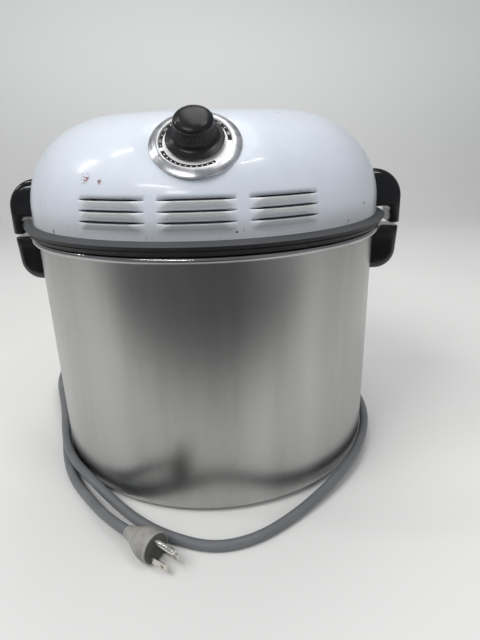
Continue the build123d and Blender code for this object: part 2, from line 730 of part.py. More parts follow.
# Terminal block and the fittings of the heater's legs
with BuildPart() as element_nuts:
    with BuildSketch(Plane.XY.offset(PLATE_TOP)):
        with Locations((-leg_x, leg_y), (leg_x, leg_y)):
            RegularPolygon(NUT_R, SCREW_SIDES)
            RegularPolygon(TUBE_R + HANDLE_FIT, FITTING_SIDES, major_radius=False, mode=Mode.SUBTRACT)
    extrude(amount=NUT_TOP - PLATE_TOP)
save(element_nuts, "element_nuts")

with BuildPart() as terminal_insulators:
    with BuildSketch(Plane.XY.offset(LEG_TOP)):
        with Locations((-leg_x, leg_y), (leg_x, leg_y)):
            RegularPolygon(INSULATOR_R, FITTING_SIDES)
            RegularPolygon(PIN_R + HANDLE_FIT, SCREW_SIDES, major_radius=False, mode=Mode.SUBTRACT)
    extrude(amount=INSULATOR_TOP - LEG_TOP)
save(terminal_insulators, "terminal_insulators")

with BuildPart() as element_terminals:
    with BuildSketch(Plane.XY.offset(LEG_TOP)):
        with Locations((-leg_x, leg_y), (leg_x, leg_y)):
            RegularPolygon(PIN_R, SCREW_SIDES, major_radius=False)
    extrude(amount=PIN_TOP - LEG_TOP)
save(element_terminals, "element_terminals")

with BuildPart() as terminal_block:
    with BuildSketch(Plane.XY.offset(PLATE_TOP)):
        with Locations((0, BLOCK_Y)):
            Rectangle(BLOCK_WIDTH, BLOCK_DEPTH)
    extrude(amount=BLOCK_HEIGHT)
    with BuildSketch(Plane.XY.offset(BLOCK_TOP)):
        with Locations((0, BLOCK_Y)):
            Rectangle(BLOCK_WIDTH, BLOCK_SLOT)
    extrude(amount=-BLOCK_SLOT, mode=Mode.SUBTRACT)
save(terminal_block, "terminal_block")

# Strain relief in the cover's back wall, and the cord's end inside the head
boot_y = RELIEF_FLANGE_Y + RELIEF_FLANGE
boot_step = (RELIEF_END_Y - boot_y) / len(RELIEF_STEPS)
relief_stages = [
    (RELIEF_INNER_Y, RELIEF_PLUG_R, RELIEF_FLANGE_Y - RELIEF_INNER_Y),
    (RELIEF_FLANGE_Y, RELIEF_FLANGE_R, RELIEF_FLANGE),
]
for step, radius in enumerate(RELIEF_STEPS):
    relief_stages.append((boot_y + step * boot_step, radius, boot_step))
exit_plane = Plane((0, 0, EXIT_Z), x_dir=(1, 0, 0), z_dir=(0, 1, 0))
with BuildPart() as strain_relief:
    for start, radius, reach in relief_stages:
        with BuildSketch(exit_plane.offset(start)):
            RegularPolygon(radius, FITTING_SIDES, major_radius=False)
        extrude(amount=reach)
    with BuildSketch(exit_plane.offset(RELIEF_INNER_Y)):
        RegularPolygon(CORD_R + HANDLE_FIT, CORD_SIDES)
    extrude(amount=RELIEF_END_Y - RELIEF_INNER_Y, mode=Mode.SUBTRACT)
save(strain_relief, "strain_relief")

with BuildPart() as cord_inlet:
    with BuildSketch(exit_plane.offset(INLET_INNER_Y)):
        RegularPolygon(CORD_R, CORD_SIDES)
    extrude(amount=RELIEF_END_Y - INLET_INNER_Y)
save(cord_inlet, "cord_inlet")

# Wires: cord to terminal block, block to heater, block to thermostat
wire_routes = []
for x in CORD_WIRES:
    drop_y = BLOCK_Y + BLOCK_DEPTH / 3
    wire_routes.append([(x, INLET_INNER_Y, EXIT_Z), (x, drop_y, EXIT_Z), (x, drop_y, BLOCK_TOP)])
for side in (-1, 1):
    start_x = side * (BLOCK_WIDTH / 2 - 3 * WIRE)
    wire_routes.append(
        [
            (start_x, BLOCK_Y + BLOCK_DEPTH / 3, BLOCK_TOP),
            (start_x, BLOCK_Y + BLOCK_DEPTH / 3, WIRE_ROOF),
            (side * leg_x, leg_y, WIRE_ROOF),
            (side * leg_x, leg_y, PIN_TOP),
        ]
    )
for x in STAT_WIRES:
    end = dial_plane.offset(-COVER_SHEET - STAT_DEPTH).from_local_coords(Vector(x, DIAPHRAGM_R))
    knee = end - dial_axis * ((end.Z - WIRE_ROOF) / dial_axis.Z)
    block_y = BLOCK_Y - BLOCK_DEPTH / 3
    wire_routes.append([(x, block_y, BLOCK_TOP), (x, block_y, WIRE_ROOF), knee, end])
with BuildPart() as lead_wires:
    for route in wire_routes:
        with BuildLine() as wire_path:
            Polyline(*route)
        with BuildSketch(Plane(wire_path.wire() @ 0, z_dir=wire_path.wire() % 0)):
            Rectangle(WIRE, WIRE)
        sweep(path=wire_path.wire(), transition=Transition.RIGHT)
save(lead_wires, "lead_wires")

# Power cord: one tube from the strain relief, once round the kettle, to the plug
cord_radii = corner_radii(CORD_ROUTE)
with BuildPart() as power_cord:
    with BuildLine() as cord_path:
        FilletPolyline(*CORD_ROUTE, radius=cord_radii)
    cord_wire = cord_path.wire()
    with BuildSketch(Plane(cord_wire @ 0, z_dir=cord_wire % 0)):
        RegularPolygon(CORD_R, CORD_SIDES)
    sweep(path=cord_wire)
save(power_cord, "power_cord")
cord_section = RegularPolygon(CORD_R, CORD_SIDES, mode=Mode.PRIVATE).area
print("cord bend radii", [round(r) for r in cord_radii])
print("cord length", round(cord_wire.length, 1))
print("cord volume against section times length", power_cord.part.volume / (cord_section * cord_wire.length))
cord_points = [cord_wire @ (index / CORD_SAMPLES) for index in range(CORD_SAMPLES + 1)]
near_count = ceil(CORD_SAMPLES * CORD_NEAR_RUN / cord_wire.length)
cord_spans = [
    (point - other).length
    for index, point in enumerate(cord_points)
    for other in cord_points[index + near_count :]
]
print("cord's least gap to itself", round(min(cord_spans) - 2 * CORD_R, 2))

# Plug: lies on the table with its earth pin uppermost
plug_axis = cord_wire % 1
plug_base = Plane(CORD_ROUTE[-1], x_dir=Vector(0, 0, 1), z_dir=plug_axis)
plug_face = plug_base.offset(PLUG_LENGTH)
with BuildPart() as plug_body:
    with BuildSketch(plug_base.offset(PLUG_GRIP_START)):
        RegularPolygon(PLUG_GRIP_R, PLUG_SIDES, major_radius=False, rotation=180 / PLUG_SIDES)
    extrude(amount=PLUG_LENGTH - PLUG_GRIP_START)
    grip_back = faces().sort_by(Axis(plug_base.origin, plug_axis))[0]
    chamfer(grip_back.edges(), PLUG_SLOPE, PLUG_SLOPE_IN, reference=grip_back)
    with BuildSketch(plug_base):
        RegularPolygon(PLUG_NECK_R, PLUG_SIDES, major_radius=False, rotation=180 / PLUG_SIDES)
    extrude(amount=PLUG_GRIP_START)
save(plug_body, "plug_body")

with BuildPart() as plug_blades:
    with BuildSketch(plug_face):
        with Locations((-BLADE_DROP, -BLADE_PITCH / 2), (-BLADE_DROP, BLADE_PITCH / 2)):
            Rectangle(BLADE_WIDTH, BLADE_THICK)
    extrude(amount=BLADE_LENGTH)
    blade_tip = plug_face.origin + plug_axis * (BLADE_LENGTH - BLADE_HOLE_INSET)
    with BuildSketch(Plane(blade_tip, x_dir=plug_face.x_dir, z_dir=plug_face.y_dir)):
        with Locations((-BLADE_DROP, 0)):
            RegularPolygon(BLADE_HOLE_R, FITTING_SIDES)
    extrude(amount=BLADE_PITCH, both=True, mode=Mode.SUBTRACT)
save(plug_blades, "plug_blades")

with BuildPart() as plug_ground_pin:
    with BuildSketch(plug_face):
        with Locations((EARTH_RISE, 0)):
            RegularPolygon(EARTH_R, FITTING_SIDES)
    extrude(amount=EARTH_LENGTH)
    chamfer(faces().sort_by(Axis(plug_face.origin, plug_axis))[-1].edges(), EARTH_R / 3)
save(plug_ground_pin, "plug_ground_pin")

# Basket: wire hoops and ribs welded into one piece, on short feet
with BuildPart() as basket:
    hoops = (
        (BASKET_R, BASKET_TOP - BASKET_RIM, BASKET_RIM),
        (BASKET_BASE_R, BASKET_BASE_Z, BASKET_WIRE),
        (BASKET_HUB_R, BASKET_BASE_Z, BASKET_WIRE),
    )
    for radius, height, depth in hoops:
        with BuildSketch(Plane.XY.offset(height)):
            RegularPolygon(radius, HOOP_SIDES)
            RegularPolygon(radius - BASKET_WIRE, HOOP_SIDES, mode=Mode.SUBTRACT)
        extrude(amount=depth)
    for rib in range(BASKET_RIBS):
        with BuildSketch(Plane.XZ.rotated((0, 0, (rib + 0.5) * 360 / BASKET_RIBS))):
            Polygon(
                (BASKET_R - BASKET_WIRE / 2, BASKET_TOP - BASKET_RIM / 2),
                (BASKET_R - 2 * BASKET_WIRE, BASKET_TOP - BASKET_RIM / 2),
                (BASKET_BASE_R - 2 * BASKET_WIRE, BASKET_BASE_Z + BASKET_WIRE),
                (BASKET_HUB_R - BASKET_WIRE / 2, BASKET_BASE_Z + BASKET_WIRE),
                (BASKET_HUB_R - BASKET_WIRE / 2, BASKET_BASE_Z),
                (BASKET_BASE_R - BASKET_WIRE / 2, BASKET_BASE_Z),
                align=None,
            )
        extrude(amount=BASKET_WIRE / 2, both=True)
    with BuildSketch(Plane.XY.offset(KETTLE_FLOOR + SEAT_GAP)):
        with PolarLocations(BASKET_BASE_R - BASKET_WIRE / 2, FOOT_COUNT, start_angle=45):
            Rectangle(BASKET_WIRE, FOOT)
    extrude(amount=BASKET_BASE_Z - KETTLE_FLOOR)
    for side in (-1, 1):
        with BuildSketch(Plane.YZ.offset(side * EAR_X)):
            with Locations((0, (EAR_TOP + BASKET_TOP - BASKET_RIM) / 2)):
                Rectangle(EAR_WIDTH, EAR_TOP - BASKET_TOP + BASKET_RIM)
            with Locations((0, BAIL_Z)):
                Circle(BAIL_R + 2 * RUN_FIT, mode=Mode.SUBTRACT)
        extrude(amount=side * EAR_THICK)
save(basket, "basket")

# Bail: a strap bow that lies back on the basket's rim, with round ends in its ears
with BuildPart() as bail_handle:
    bow = facets((0, BAIL_BOW_Y), BAIL_LEG_X + BAIL_R, 0, 180, BAIL_CHORDS)
    inner_bow = facets((0, BAIL_BOW_Y), BAIL_LEG_X - BAIL_R, 180, 0, BAIL_CHORDS)
    with BuildSketch(Plane.XY.offset(BAIL_Z - BAIL_R)):
        Polygon(
            (BAIL_LEG_X + BAIL_R, -BAIL_R),
            *bow,
            (-BAIL_LEG_X - BAIL_R, -BAIL_R),
            (-BAIL_LEG_X + BAIL_R, -BAIL_R),
            *inner_bow,
            (BAIL_LEG_X - BAIL_R, -BAIL_R),
            align=None,
        )
    extrude(amount=BAIL_WIRE)
    for side in (-1, 1):
        with BuildSketch(Plane.YZ.offset(side * BAIL_LEG_X)):
            with Locations((0, BAIL_Z)):
                Circle(BAIL_R)
        extrude(amount=side * (BAIL_PIN_X - BAIL_LEG_X))
save(bail_handle, "bail_handle")
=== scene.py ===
import logging
import math
from abc import ABC, abstractmethod
from collections.abc import Callable, Iterable, Sequence
from dataclasses import dataclass, field
from enum import Enum

import bmesh
import bpy
from bmesh.types import BMEdge, BMesh, BMVert
from bpy.types import Material, Node, NodeSocket, Object
from mathutils import Matrix, Vector


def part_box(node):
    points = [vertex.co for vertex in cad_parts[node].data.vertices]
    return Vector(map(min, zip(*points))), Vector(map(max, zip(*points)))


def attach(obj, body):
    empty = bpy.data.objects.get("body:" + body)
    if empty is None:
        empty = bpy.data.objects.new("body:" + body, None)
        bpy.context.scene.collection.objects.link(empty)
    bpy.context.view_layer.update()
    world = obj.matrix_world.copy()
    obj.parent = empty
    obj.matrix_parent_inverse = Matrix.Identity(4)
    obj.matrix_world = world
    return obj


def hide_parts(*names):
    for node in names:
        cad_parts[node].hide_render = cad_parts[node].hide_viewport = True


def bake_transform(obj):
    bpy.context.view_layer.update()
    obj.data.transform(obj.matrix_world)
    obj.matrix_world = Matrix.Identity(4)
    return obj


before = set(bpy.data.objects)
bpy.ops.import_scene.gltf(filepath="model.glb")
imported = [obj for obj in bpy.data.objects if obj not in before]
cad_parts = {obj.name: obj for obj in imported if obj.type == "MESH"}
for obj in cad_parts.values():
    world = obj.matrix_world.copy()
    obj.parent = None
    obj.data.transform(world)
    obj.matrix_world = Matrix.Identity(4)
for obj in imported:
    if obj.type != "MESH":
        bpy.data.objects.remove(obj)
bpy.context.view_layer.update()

# Deep fryer: an aluminium kettle, and an enamelled electric head that lifts off it.
# Metres, +Z up, origin at the centre of the kettle's base, dial towards -Y.

MM = 0.001
SKIN = 0.05 * MM

Point = tuple[float, float, float]
Ring = tuple[float, float]
Span = tuple[float, float]
Tint = tuple[float, float, float]
Shell = Callable[[float], float]
Inputs = dict[str | int, object]

ORIGIN: Point = (0.0, 0.0, 0.0)
ACROSS: Point = (1.0, 0.0, 0.0)
UP: Point = (0.0, 0.0, 1.0)
EVEN: Point = (1.0, 1.0, 1.0)
SOFT: Span = (0.35, 0.75)
AS_IS = Matrix.Identity(4)

log = logging.getLogger("deep_fryer")


def mm(*pairs: Ring) -> tuple[Ring, ...]:
    """Return points given in millimetres, in metres."""
    return tuple((first * MM, second * MM) for first, second in pairs)


def between(low: float, high: float, share: float) -> float:
    """Return the value at a share of the way from one value to another."""
    return low + (high - low) * share


def polar(angle: float, radius: float, height: float) -> Vector:
    """Return the point at an angle about Z, in radians from X, a radius and a height."""
    return Vector((radius * math.cos(angle), radius * math.sin(angle), height))


def arc(centre: Ring, radius: float, start: float, stop: float, steps: int) -> list[Ring]:
    """Return points on a circular arc.

    Args:
        centre: The arc's centre, as radius and height.
        radius: The arc's own radius.
        start: First angle in degrees.
        stop: Last angle in degrees.
        steps: Number of runs between points.

    Returns:
        Radius and height of each point.
    """
    angles = [math.radians(start + (stop - start) * step / steps) for step in range(steps + 1)]
    return [(centre[0] + radius * math.cos(a), centre[1] + radius * math.sin(a)) for a in angles]


def frame_of(origin: Point, *axes: Vector) -> Matrix:
    """Return the frame that has an origin and three axes."""
    return Matrix.Translation(origin) @ Matrix(axes).transposed().to_4x4()


def show(name: str, data: bpy.types.ID) -> Object:
    """Put a new object with its data into the scene.

    Args:
        name: The object's name.
        data: Its mesh, lamp or camera.

    Returns:
        The new object.
    """
    thing = bpy.data.objects.new(name, data)
    bpy.context.scene.collection.objects.link(thing)
    return thing


def settle(name: str, edit: BMesh) -> Object:
    """Turn a bmesh into a smooth object in the scene.

    Args:
        name: The object's name.
        edit: Its shape, freed here.

    Returns:
        The new object.
    """
    for face in edit.faces:
        face.smooth = True
    mesh = bpy.data.meshes.new(name)
    edit.to_mesh(mesh)
    edit.free()
    return show(name, mesh)


class Body(str, Enum):
    """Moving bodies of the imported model."""

    KETTLE = "kettle"
    HEAD = "head"
    KNOB = "knob"
    BASKET = "basket"
    BAIL = "bail"


class Slot(str, Enum):
    """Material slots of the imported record."""

    KETTLE = "kettle_aluminium"
    PHENOLIC = "black_phenolic"
    ENAMEL = "white_enamel"
    GASKET = "gasket_rubber"
    DIAL = "dial_aluminium"
    COPPER = "sensor_copper"
    SHEATH = "element_sheath"
    BRASS = "terminal_brass"
    RELIEF = "relief_rubber"
    CORD = "cord_grey"
    PLUG = "plug_grey"
    BASKET = "basket_wire"


class NodeBench:
    """A new material's node tree, with short calls that add and join nodes."""

    # Where a colour mix takes its share and its two colours, and gives its result.
    MIX_INPUTS = (0, 6, 7)
    MIX_OUTPUT = 2

    def __init__(self, name: str) -> None:
        """Start a material whose one shader is joined to its output.

        Args:
            name: The material's name.
        """
        self.material: Material = bpy.data.materials.new(name)
        self.material.use_nodes = True
        self.tree = self.material.node_tree
        self.tree.nodes.clear()
        self.shader = self.add("BsdfPrincipled")
        self.add("OutputMaterial", {"Surface": self.shader.outputs["BSDF"]})
        self.place: NodeSocket = self.add("TexCoord").outputs["Object"]

    def add(self, kind: str, inputs: Inputs | None = None, **settings: object) -> Node:
        """Add a node.

        Args:
            kind: The node's type, without ShaderNode in front.
            inputs: What to feed to its inputs.
            settings: Properties to set on it.

        Returns:
            The new node.
        """
        node = self.tree.nodes.new(f"ShaderNode{kind}")
        for key, value in settings.items():
            setattr(node, key, value)
        self.feed(node, inputs or {})
        return node

    def feed(self, node: Node, inputs: Inputs) -> None:
        """Join sockets to a node's inputs, or set the inputs' constants.

        Args:
            node: The node to feed.
            inputs: An output socket, a number or a tuple for each input.
        """
        for key, value in inputs.items():
            target = node.inputs[key]
            if isinstance(value, NodeSocket):
                self.tree.links.new(value, target)
            elif target.type == "RGBA":
                target.default_value = (*value, 1.0)
            else:
                target.default_value = value

    def shade(self, colour: NodeSocket, roughness: object, **others: object) -> None:
        """Feed the shader.

        Args:
            colour: Its base colour.
            roughness: Its roughness.
            others: Its other inputs, with _ for the spaces in their names.
        """
        named = {key.replace("_", " "): value for key, value in others.items()}
        self.feed(self.shader, {"Base Color": colour, "Roughness": roughness, **named})

    def noise(self, scale: float, stretch: Point = EVEN, detail: float = 3.0) -> NodeSocket:
        """Add noise over the object's own coordinates.

        Args:
            scale: Lumps per metre.
            stretch: Factors on the coordinates; a small one draws the lumps out along it.
            detail: Octaves of finer noise.

        Returns:
            A value from 0 to 1.
        """
        mapping = self.add("Mapping", {"Vector": self.place, "Scale": stretch})
        inputs = {"Vector": mapping.outputs["Vector"], "Scale": scale, "Detail": detail}
        return self.add("TexNoise", inputs).outputs["Fac"]

    def noise_of(self, value: NodeSocket, scale: float, detail: float) -> NodeSocket:
        """Add noise that changes only with a value."""
        inputs = {"W": value, "Scale": scale, "Detail": detail}
        return self.add("TexNoise", inputs, noise_dimensions="1D").outputs["Fac"]

    def vector(self, operation: str, first: object, second: object = ORIGIN) -> Node:
        """Add a node of vector maths."""
        return self.add("VectorMath", {0: first, 1: second}, operation=operation)

    def rings(self, origin: Point, axis: Point, scale: float) -> NodeSocket:
        """Add noise that changes only with the distance from an axis, like a turned surface.

        Args:
            origin: A point on the axis.
            axis: The axis, of unit length.
            scale: Rings per metre.

        Returns:
            A value from 0 to 1.
        """
        shift = self.vector("SUBTRACT", self.place, origin).outputs["Vector"]
        cross = self.vector("CROSS_PRODUCT", shift, axis).outputs["Vector"]
        return self.noise_of(self.vector("LENGTH", cross).outputs["Value"], scale, 4.0)

    def sectors(self, origin: Point, axis: Point, scale: float) -> NodeSocket:
        """Add noise that changes only with the angle about an axis, for the painted wedges of
        reflection on spun metal.

        Args:
            origin: A point on the axis.
            axis: The axis, of unit length and square to X.
            scale: Sectors per radian.

        Returns:
            A value from 0 to 1.
        """
        shift = self.vector("SUBTRACT", self.place, origin).outputs["Vector"]
        across = Vector(ACROSS)
        sides = (across, across.cross(Vector(axis)))
        dots = [self.vector("DOT_PRODUCT", shift, side).outputs["Value"] for side in sides]
        return self.noise_of(self.maths("ARCTAN2", *dots), scale, 5.0)

    def distance(self, point: Point) -> NodeSocket:
        """Return the distance of the shaded point from a point."""
        return self.vector("DISTANCE", self.place, point).outputs["Value"]

    def along(self, axis: str) -> NodeSocket:
        """Return the shaded point's coordinate on the X, Y or Z axis."""
        return self.add("SeparateXYZ", {"Vector": self.place}).outputs[axis]

    def painted(self, name: str) -> NodeSocket:
        """Return a value painted on the mesh under a name."""
        return self.add("Attribute", attribute_name=name).outputs["Fac"]

    def span(self, value: NodeSocket, low: float, high: float) -> NodeSocket:
        """Return how far a value lies from one limit to another, smoothly, from 0 to 1.

        Args:
            value: The value.
            low: The limit that gives 0.
            high: The limit that gives 1.

        Returns:
            A value from 0 to 1.
        """
        limits = {"From Min": min(low, high), "From Max": max(low, high)}
        ends = {"To Min": float(low > high), "To Max": float(low < high)}
        inputs = {"Value": value, **limits, **ends}
        return self.add("MapRange", inputs, interpolation_type="SMOOTHSTEP").outputs["Result"]

    def level(self, value: NodeSocket, low: float, high: float) -> NodeSocket:
        """Return a 0 to 1 value brought to run from one level to another."""
        inputs = {"Value": value, "To Min": low, "To Max": high}
        return self.add("MapRange", inputs).outputs["Result"]

    def maths(self, operation: str, first: object, second: object) -> NodeSocket:
        """Join two values by an operation."""
        return self.add("Math", {0: first, 1: second}, operation=operation).outputs["Value"]

    def times(self, first: object, second: object) -> NodeSocket:
        """Multiply two values."""
        return self.maths("MULTIPLY", first, second)

    def mix(self, share: object, first: object, second: object) -> NodeSocket:
        """Mix two colours or colour sockets, with a share of the second from 0 to 1."""
        inputs = dict(zip(self.MIX_INPUTS, (share, first, second)))
        return self.add("Mix", inputs, data_type="RGBA").outputs[self.MIX_OUTPUT]

    def relief(self, height: NodeSocket, strength: float, depth: float = SKIN) -> None:
        """Raise the surface's shading by a value from 0 to 1, times a depth in metres."""
        bump = self.add("Bump", {"Height": height, "Strength": strength, "Distance": depth})
        self.feed(self.shader, {"Normal": bump.outputs["Normal"]})


@dataclass(frozen=True)
class Finish(ABC):
    """The look of one material."""

    name: str

    def material(self) -> Material:
        """Make the material.

        Returns:
            A new procedural material.
        """
        bench = NodeBench(self.name)
        self.lay(bench)
        return bench.material

    @abstractmethod
    def lay(self, bench: NodeBench) -> None:
        """Lay out the nodes on a bench."""


@dataclass(frozen=True)
class Metal(Finish):
    """A bare metal with a grain."""

    tint: Tint = (0.62, 0.62, 0.63)
    dull: Tint = (0.42, 0.42, 0.43)
    gloss: Span = (0.22, 0.40)
    grain: float = 900.0
    stretch: Point = EVEN
    relief: float = 0.15
    metallic: float = 1.0
    patch: float = 45.0

    def lay(self, bench: NodeBench) -> None:
        """Lay out tint, roughness and grain.

        Args:
            bench: The new material's nodes.
        """
        patches = bench.span(bench.noise(self.patch), *SOFT)
        grain = bench.noise(self.grain, self.stretch)
        colour = bench.mix(patches, self.tint, self.dull)
        bench.shade(colour, bench.level(grain, *self.gloss), Metallic=self.metallic)
        bench.relief(grain, self.relief)


@dataclass(frozen=True)
class Moulded(Finish):
    """A moulded plastic, rubber or ceramic."""

    tint: Tint = (0.02, 0.02, 0.02)
    bloom: Tint = (0.06, 0.06, 0.06)
    gloss: Span = (0.25, 0.40)
    grain: float = 1400.0
    patch: float = 40.0
    relief: float = 0.12
    specular: float = 0.5

    def lay(self, bench: NodeBench) -> None:
        """Lay out tint, bloom and a fine skin.

        Args:
            bench: The new material's nodes.
        """
        patches = bench.noise(self.patch)
        colour = bench.mix(bench.span(patches, 0.40, 0.80), self.tint, self.bloom)
        rough = bench.level(patches, *self.gloss)
        bench.shade(colour, rough, Specular_IOR_Level=self.specular)
        bench.relief(bench.noise(self.grain), self.relief)


@dataclass(frozen=True)
class Enamel(Finish):
    """White enamel on pressed steel, with chips, rust at the louvres, a darker tone towards its
    foot and painted light on the louvre lips.
    """

    tint: Tint = (0.605, 0.645, 0.705)
    shade: Tint = (0.54, 0.58, 0.635)
    foot_dark: Tint = (0.36, 0.365, 0.375)
    # Painted light: the louvre lips are painted lighter and creamier, against the shade they fall
    # in.
    lip: Tint = (0.78, 0.765, 0.72)
    rust: Tint = (0.16, 0.075, 0.035)
    chip: Tint = (0.21, 0.07, 0.06)
    speck: Tint = (0.05, 0.04, 0.035)
    foot: float = 247.5 * MM
    darkening_top: float = 265.0 * MM
    chips: tuple[tuple[Point, float], ...] = (
        ((-0.0842, -0.1363, 0.2898), 6.0 * MM),
        ((-0.0721, -0.1444, 0.2872), 2.8 * MM),
    )
    specks: tuple[tuple[Point, float], ...] = (
        ((0.0652, -0.0891, 0.3329), 1.2 * MM),
        ((0.1370, -0.0964, 0.2598), 1.5 * MM),
        ((0.0283, -0.1652, 0.2507), 1.0 * MM),
    )

    def lay(self, bench: NodeBench) -> None:
        """Lay out the glass coat, its wear, its darker foot and the painted light on the louvre
        lips.

        Args:
            bench: The new material's nodes.
        """
        cloud = bench.noise(14.0)
        colour = bench.mix(bench.span(cloud, *SOFT), self.tint, self.shade)
        # Painted light on the louvre lips, by the painted lip value, against the lips' shade.
        colour = bench.mix(bench.times(bench.painted("lip"), 0.55), colour, self.lip)
        flecks = bench.span(bench.noise(520.0), 0.64, 0.76)
        colour = bench.mix(bench.times(bench.painted("wear"), flecks), colour, self.rust)
        # Darker towards the foot of the cover, patchy with the cloud; the rust drips below use the
        # same band.
        low = bench.span(bench.along("Z"), self.darkening_top, self.foot)
        foot_darkening = bench.times(low, bench.level(cloud, 0.45, 0.95))
        colour = bench.mix(foot_darkening, colour, self.foot_dark)
        drips = bench.span(bench.noise(260.0, (1.0, 1.0, 0.35)), 0.68, 0.78)
        colour = bench.mix(bench.times(low, drips), colour, self.rust)
        edge = bench.level(bench.noise(900.0), 0.7, 1.3)
        for point, radius in self.specks:
            gap = bench.times(bench.distance(point), edge)
            colour = bench.mix(bench.span(gap, radius, 0.5 * radius), colour, self.speck)
        broken = bench.span(bench.noise(620.0), 0.46, 0.58)
        for point, radius in self.chips:
            worn = bench.span(bench.distance(point), radius, 0.3 * radius)
            colour = bench.mix(bench.times(worn, broken), colour, self.chip)
        rough = bench.level(cloud, 0.20, 0.32)
        bench.shade(colour, rough, Coat_Weight=0.30, Coat_Roughness=0.08)
        bench.relief(bench.noise(60.0), 0.05, 0.5 * MM)


@dataclass(frozen=True)
class SatinAluminium(Finish):
    """Drawn aluminium with fine upright brushing, smudges, painted sheen bands and a brighter
    bead.
    """

    tint: Tint = (0.43, 0.428, 0.421)
    streak: Tint = (0.395, 0.393, 0.388)
    painted_sheen: Tint = (0.51, 0.508, 0.50)
    smudge: Tint = (0.25, 0.24, 0.225)
    bead: float = 228.0 * MM
    foot: float = 95.0 * MM
    stain: float = 20.0 * MM
    upright: Point = (1.0, 1.0, 0.02)

    def lay(self, bench: NodeBench) -> None:
        """Lay out brushing, smudges and the painted sheen bands.

        Args:
            bench: The new material's nodes.
        """
        brushing = bench.noise(1500.0, self.upright, 4.0)
        broad = bench.noise(70.0, (1.0, 1.0, 0.12), 4.0)
        colour = bench.mix(bench.span(broad, *SOFT), self.tint, self.streak)
        # Painted reflection: lighter upright bands in the colour stand in for reflections along
        # the round wall.
        sheen_bands = bench.noise(15.0, self.upright, 1.0)
        colour = bench.mix(bench.span(sheen_bands, 0.45, 0.70), colour, self.painted_sheen)
        spots = bench.span(bench.noise(95.0, (1.0, 1.0, 0.6), 6.0), 0.62, 0.80)
        height = bench.along("Z")
        low = bench.span(height, self.foot, self.stain)
        stained = bench.times(spots, bench.level(low, 0.08, 0.45))
        colour = bench.mix(stained, colour, self.smudge)
        polished = bench.span(height, self.bead, self.bead + 1.0 * MM)
        satin = bench.level(brushing, 0.25, 0.33)
        rough = bench.times(satin, bench.level(polished, 1.0, 0.55))
        bench.shade(colour, rough, Metallic=1.0)
        bench.relief(brushing, 0.05, 0.03 * MM)


@dataclass(frozen=True)
class Turned(Finish):
    """Aluminium turned about an axis, with fine rings and painted wedges of reflection."""

    origin: Point
    axis: Point
    tint: Tint = (0.95, 0.95, 0.95)
    dull: Tint = (0.60, 0.60, 0.615)

    def lay(self, bench: NodeBench) -> None:
        """Lay out the rings and the painted lighter and darker wedges of reflection.

        Args:
            bench: The new material's nodes.
        """
        rings = bench.rings(self.origin, self.axis, 3000.0)
        # Painted reflection: sectors of lighter and darker colour stand in for the highlight
        # wedges of spun metal.
        sectors = bench.span(bench.sectors(self.origin, self.axis, 2.2), 0.36, 0.66)
        colour = bench.mix(sectors, self.tint, self.dull)
        bench.shade(colour, bench.level(rings, 0.24, 0.36), Metallic=1.0)
        bench.relief(rings, 0.18, 0.04 * MM)


@dataclass(frozen=True)
class GasketRubber(Finish):
    """Black rubber, its facet that faces up painted lighter: painted light from above, with patchy
    dust.
    """

    tint: Tint = (0.006, 0.006, 0.0065)
    dust_and_light: Tint = (0.072, 0.075, 0.079)
    crest: float = 242.6 * MM

    def lay(self, bench: NodeBench) -> None:
        """Lay out rubber, and the painted light and dust on the facet that faces up.

        Args:
            bench: The new material's nodes.
        """
        height = bench.along("Z")
        # Painted light with dust: the facet that faces up is painted lighter, as if lit from
        # above, varied in patches.
        upper = bench.span(height, self.crest - 0.6 * MM, self.crest + 0.2 * MM)
        patches = bench.noise(120.0)
        dust_and_light_share = bench.times(upper, bench.level(patches, 0.75, 1.0))
        colour = bench.mix(dust_and_light_share, self.tint, self.dust_and_light)
        bench.shade(colour, bench.level(patches, 0.45, 0.62), Specular_IOR_Level=0.32)
        bench.relief(bench.noise(1500.0), 0.10)


@dataclass(frozen=True)
class PlugVinyl(Finish):
    """Moulded vinyl with a yellowed patch and one dark mark."""

    tint: Tint = (0.30, 0.292, 0.27)
    bloom: Tint = (0.235, 0.23, 0.215)
    stain: Tint = (0.40, 0.34, 0.19)
    mark: Tint = (0.05, 0.045, 0.04)
    stain_at: Point = (-0.0600, -0.2010, 0.0255)
    mark_at: Point = (-0.0555, -0.2060, 0.0266)

    def lay(self, bench: NodeBench) -> None:
        """Lay out vinyl, stain and mark.

        Args:
            bench: The new material's nodes.
        """
        patches = bench.noise(150.0)
        colour = bench.mix(bench.span(patches, *SOFT), self.tint, self.bloom)
        gap = bench.times(bench.distance(self.stain_at), bench.level(patches, 0.7, 1.3))
        colour = bench.mix(bench.span(gap, 6.0 * MM, 2.0 * MM), colour, self.stain)
        spot = bench.span(bench.distance(self.mark_at), 1.4 * MM, 0.7 * MM)
        colour = bench.mix(spot, colour, self.mark)
        bench.shade(colour, bench.level(patches, 0.38, 0.55))
        bench.relief(bench.noise(1200.0), 0.10)


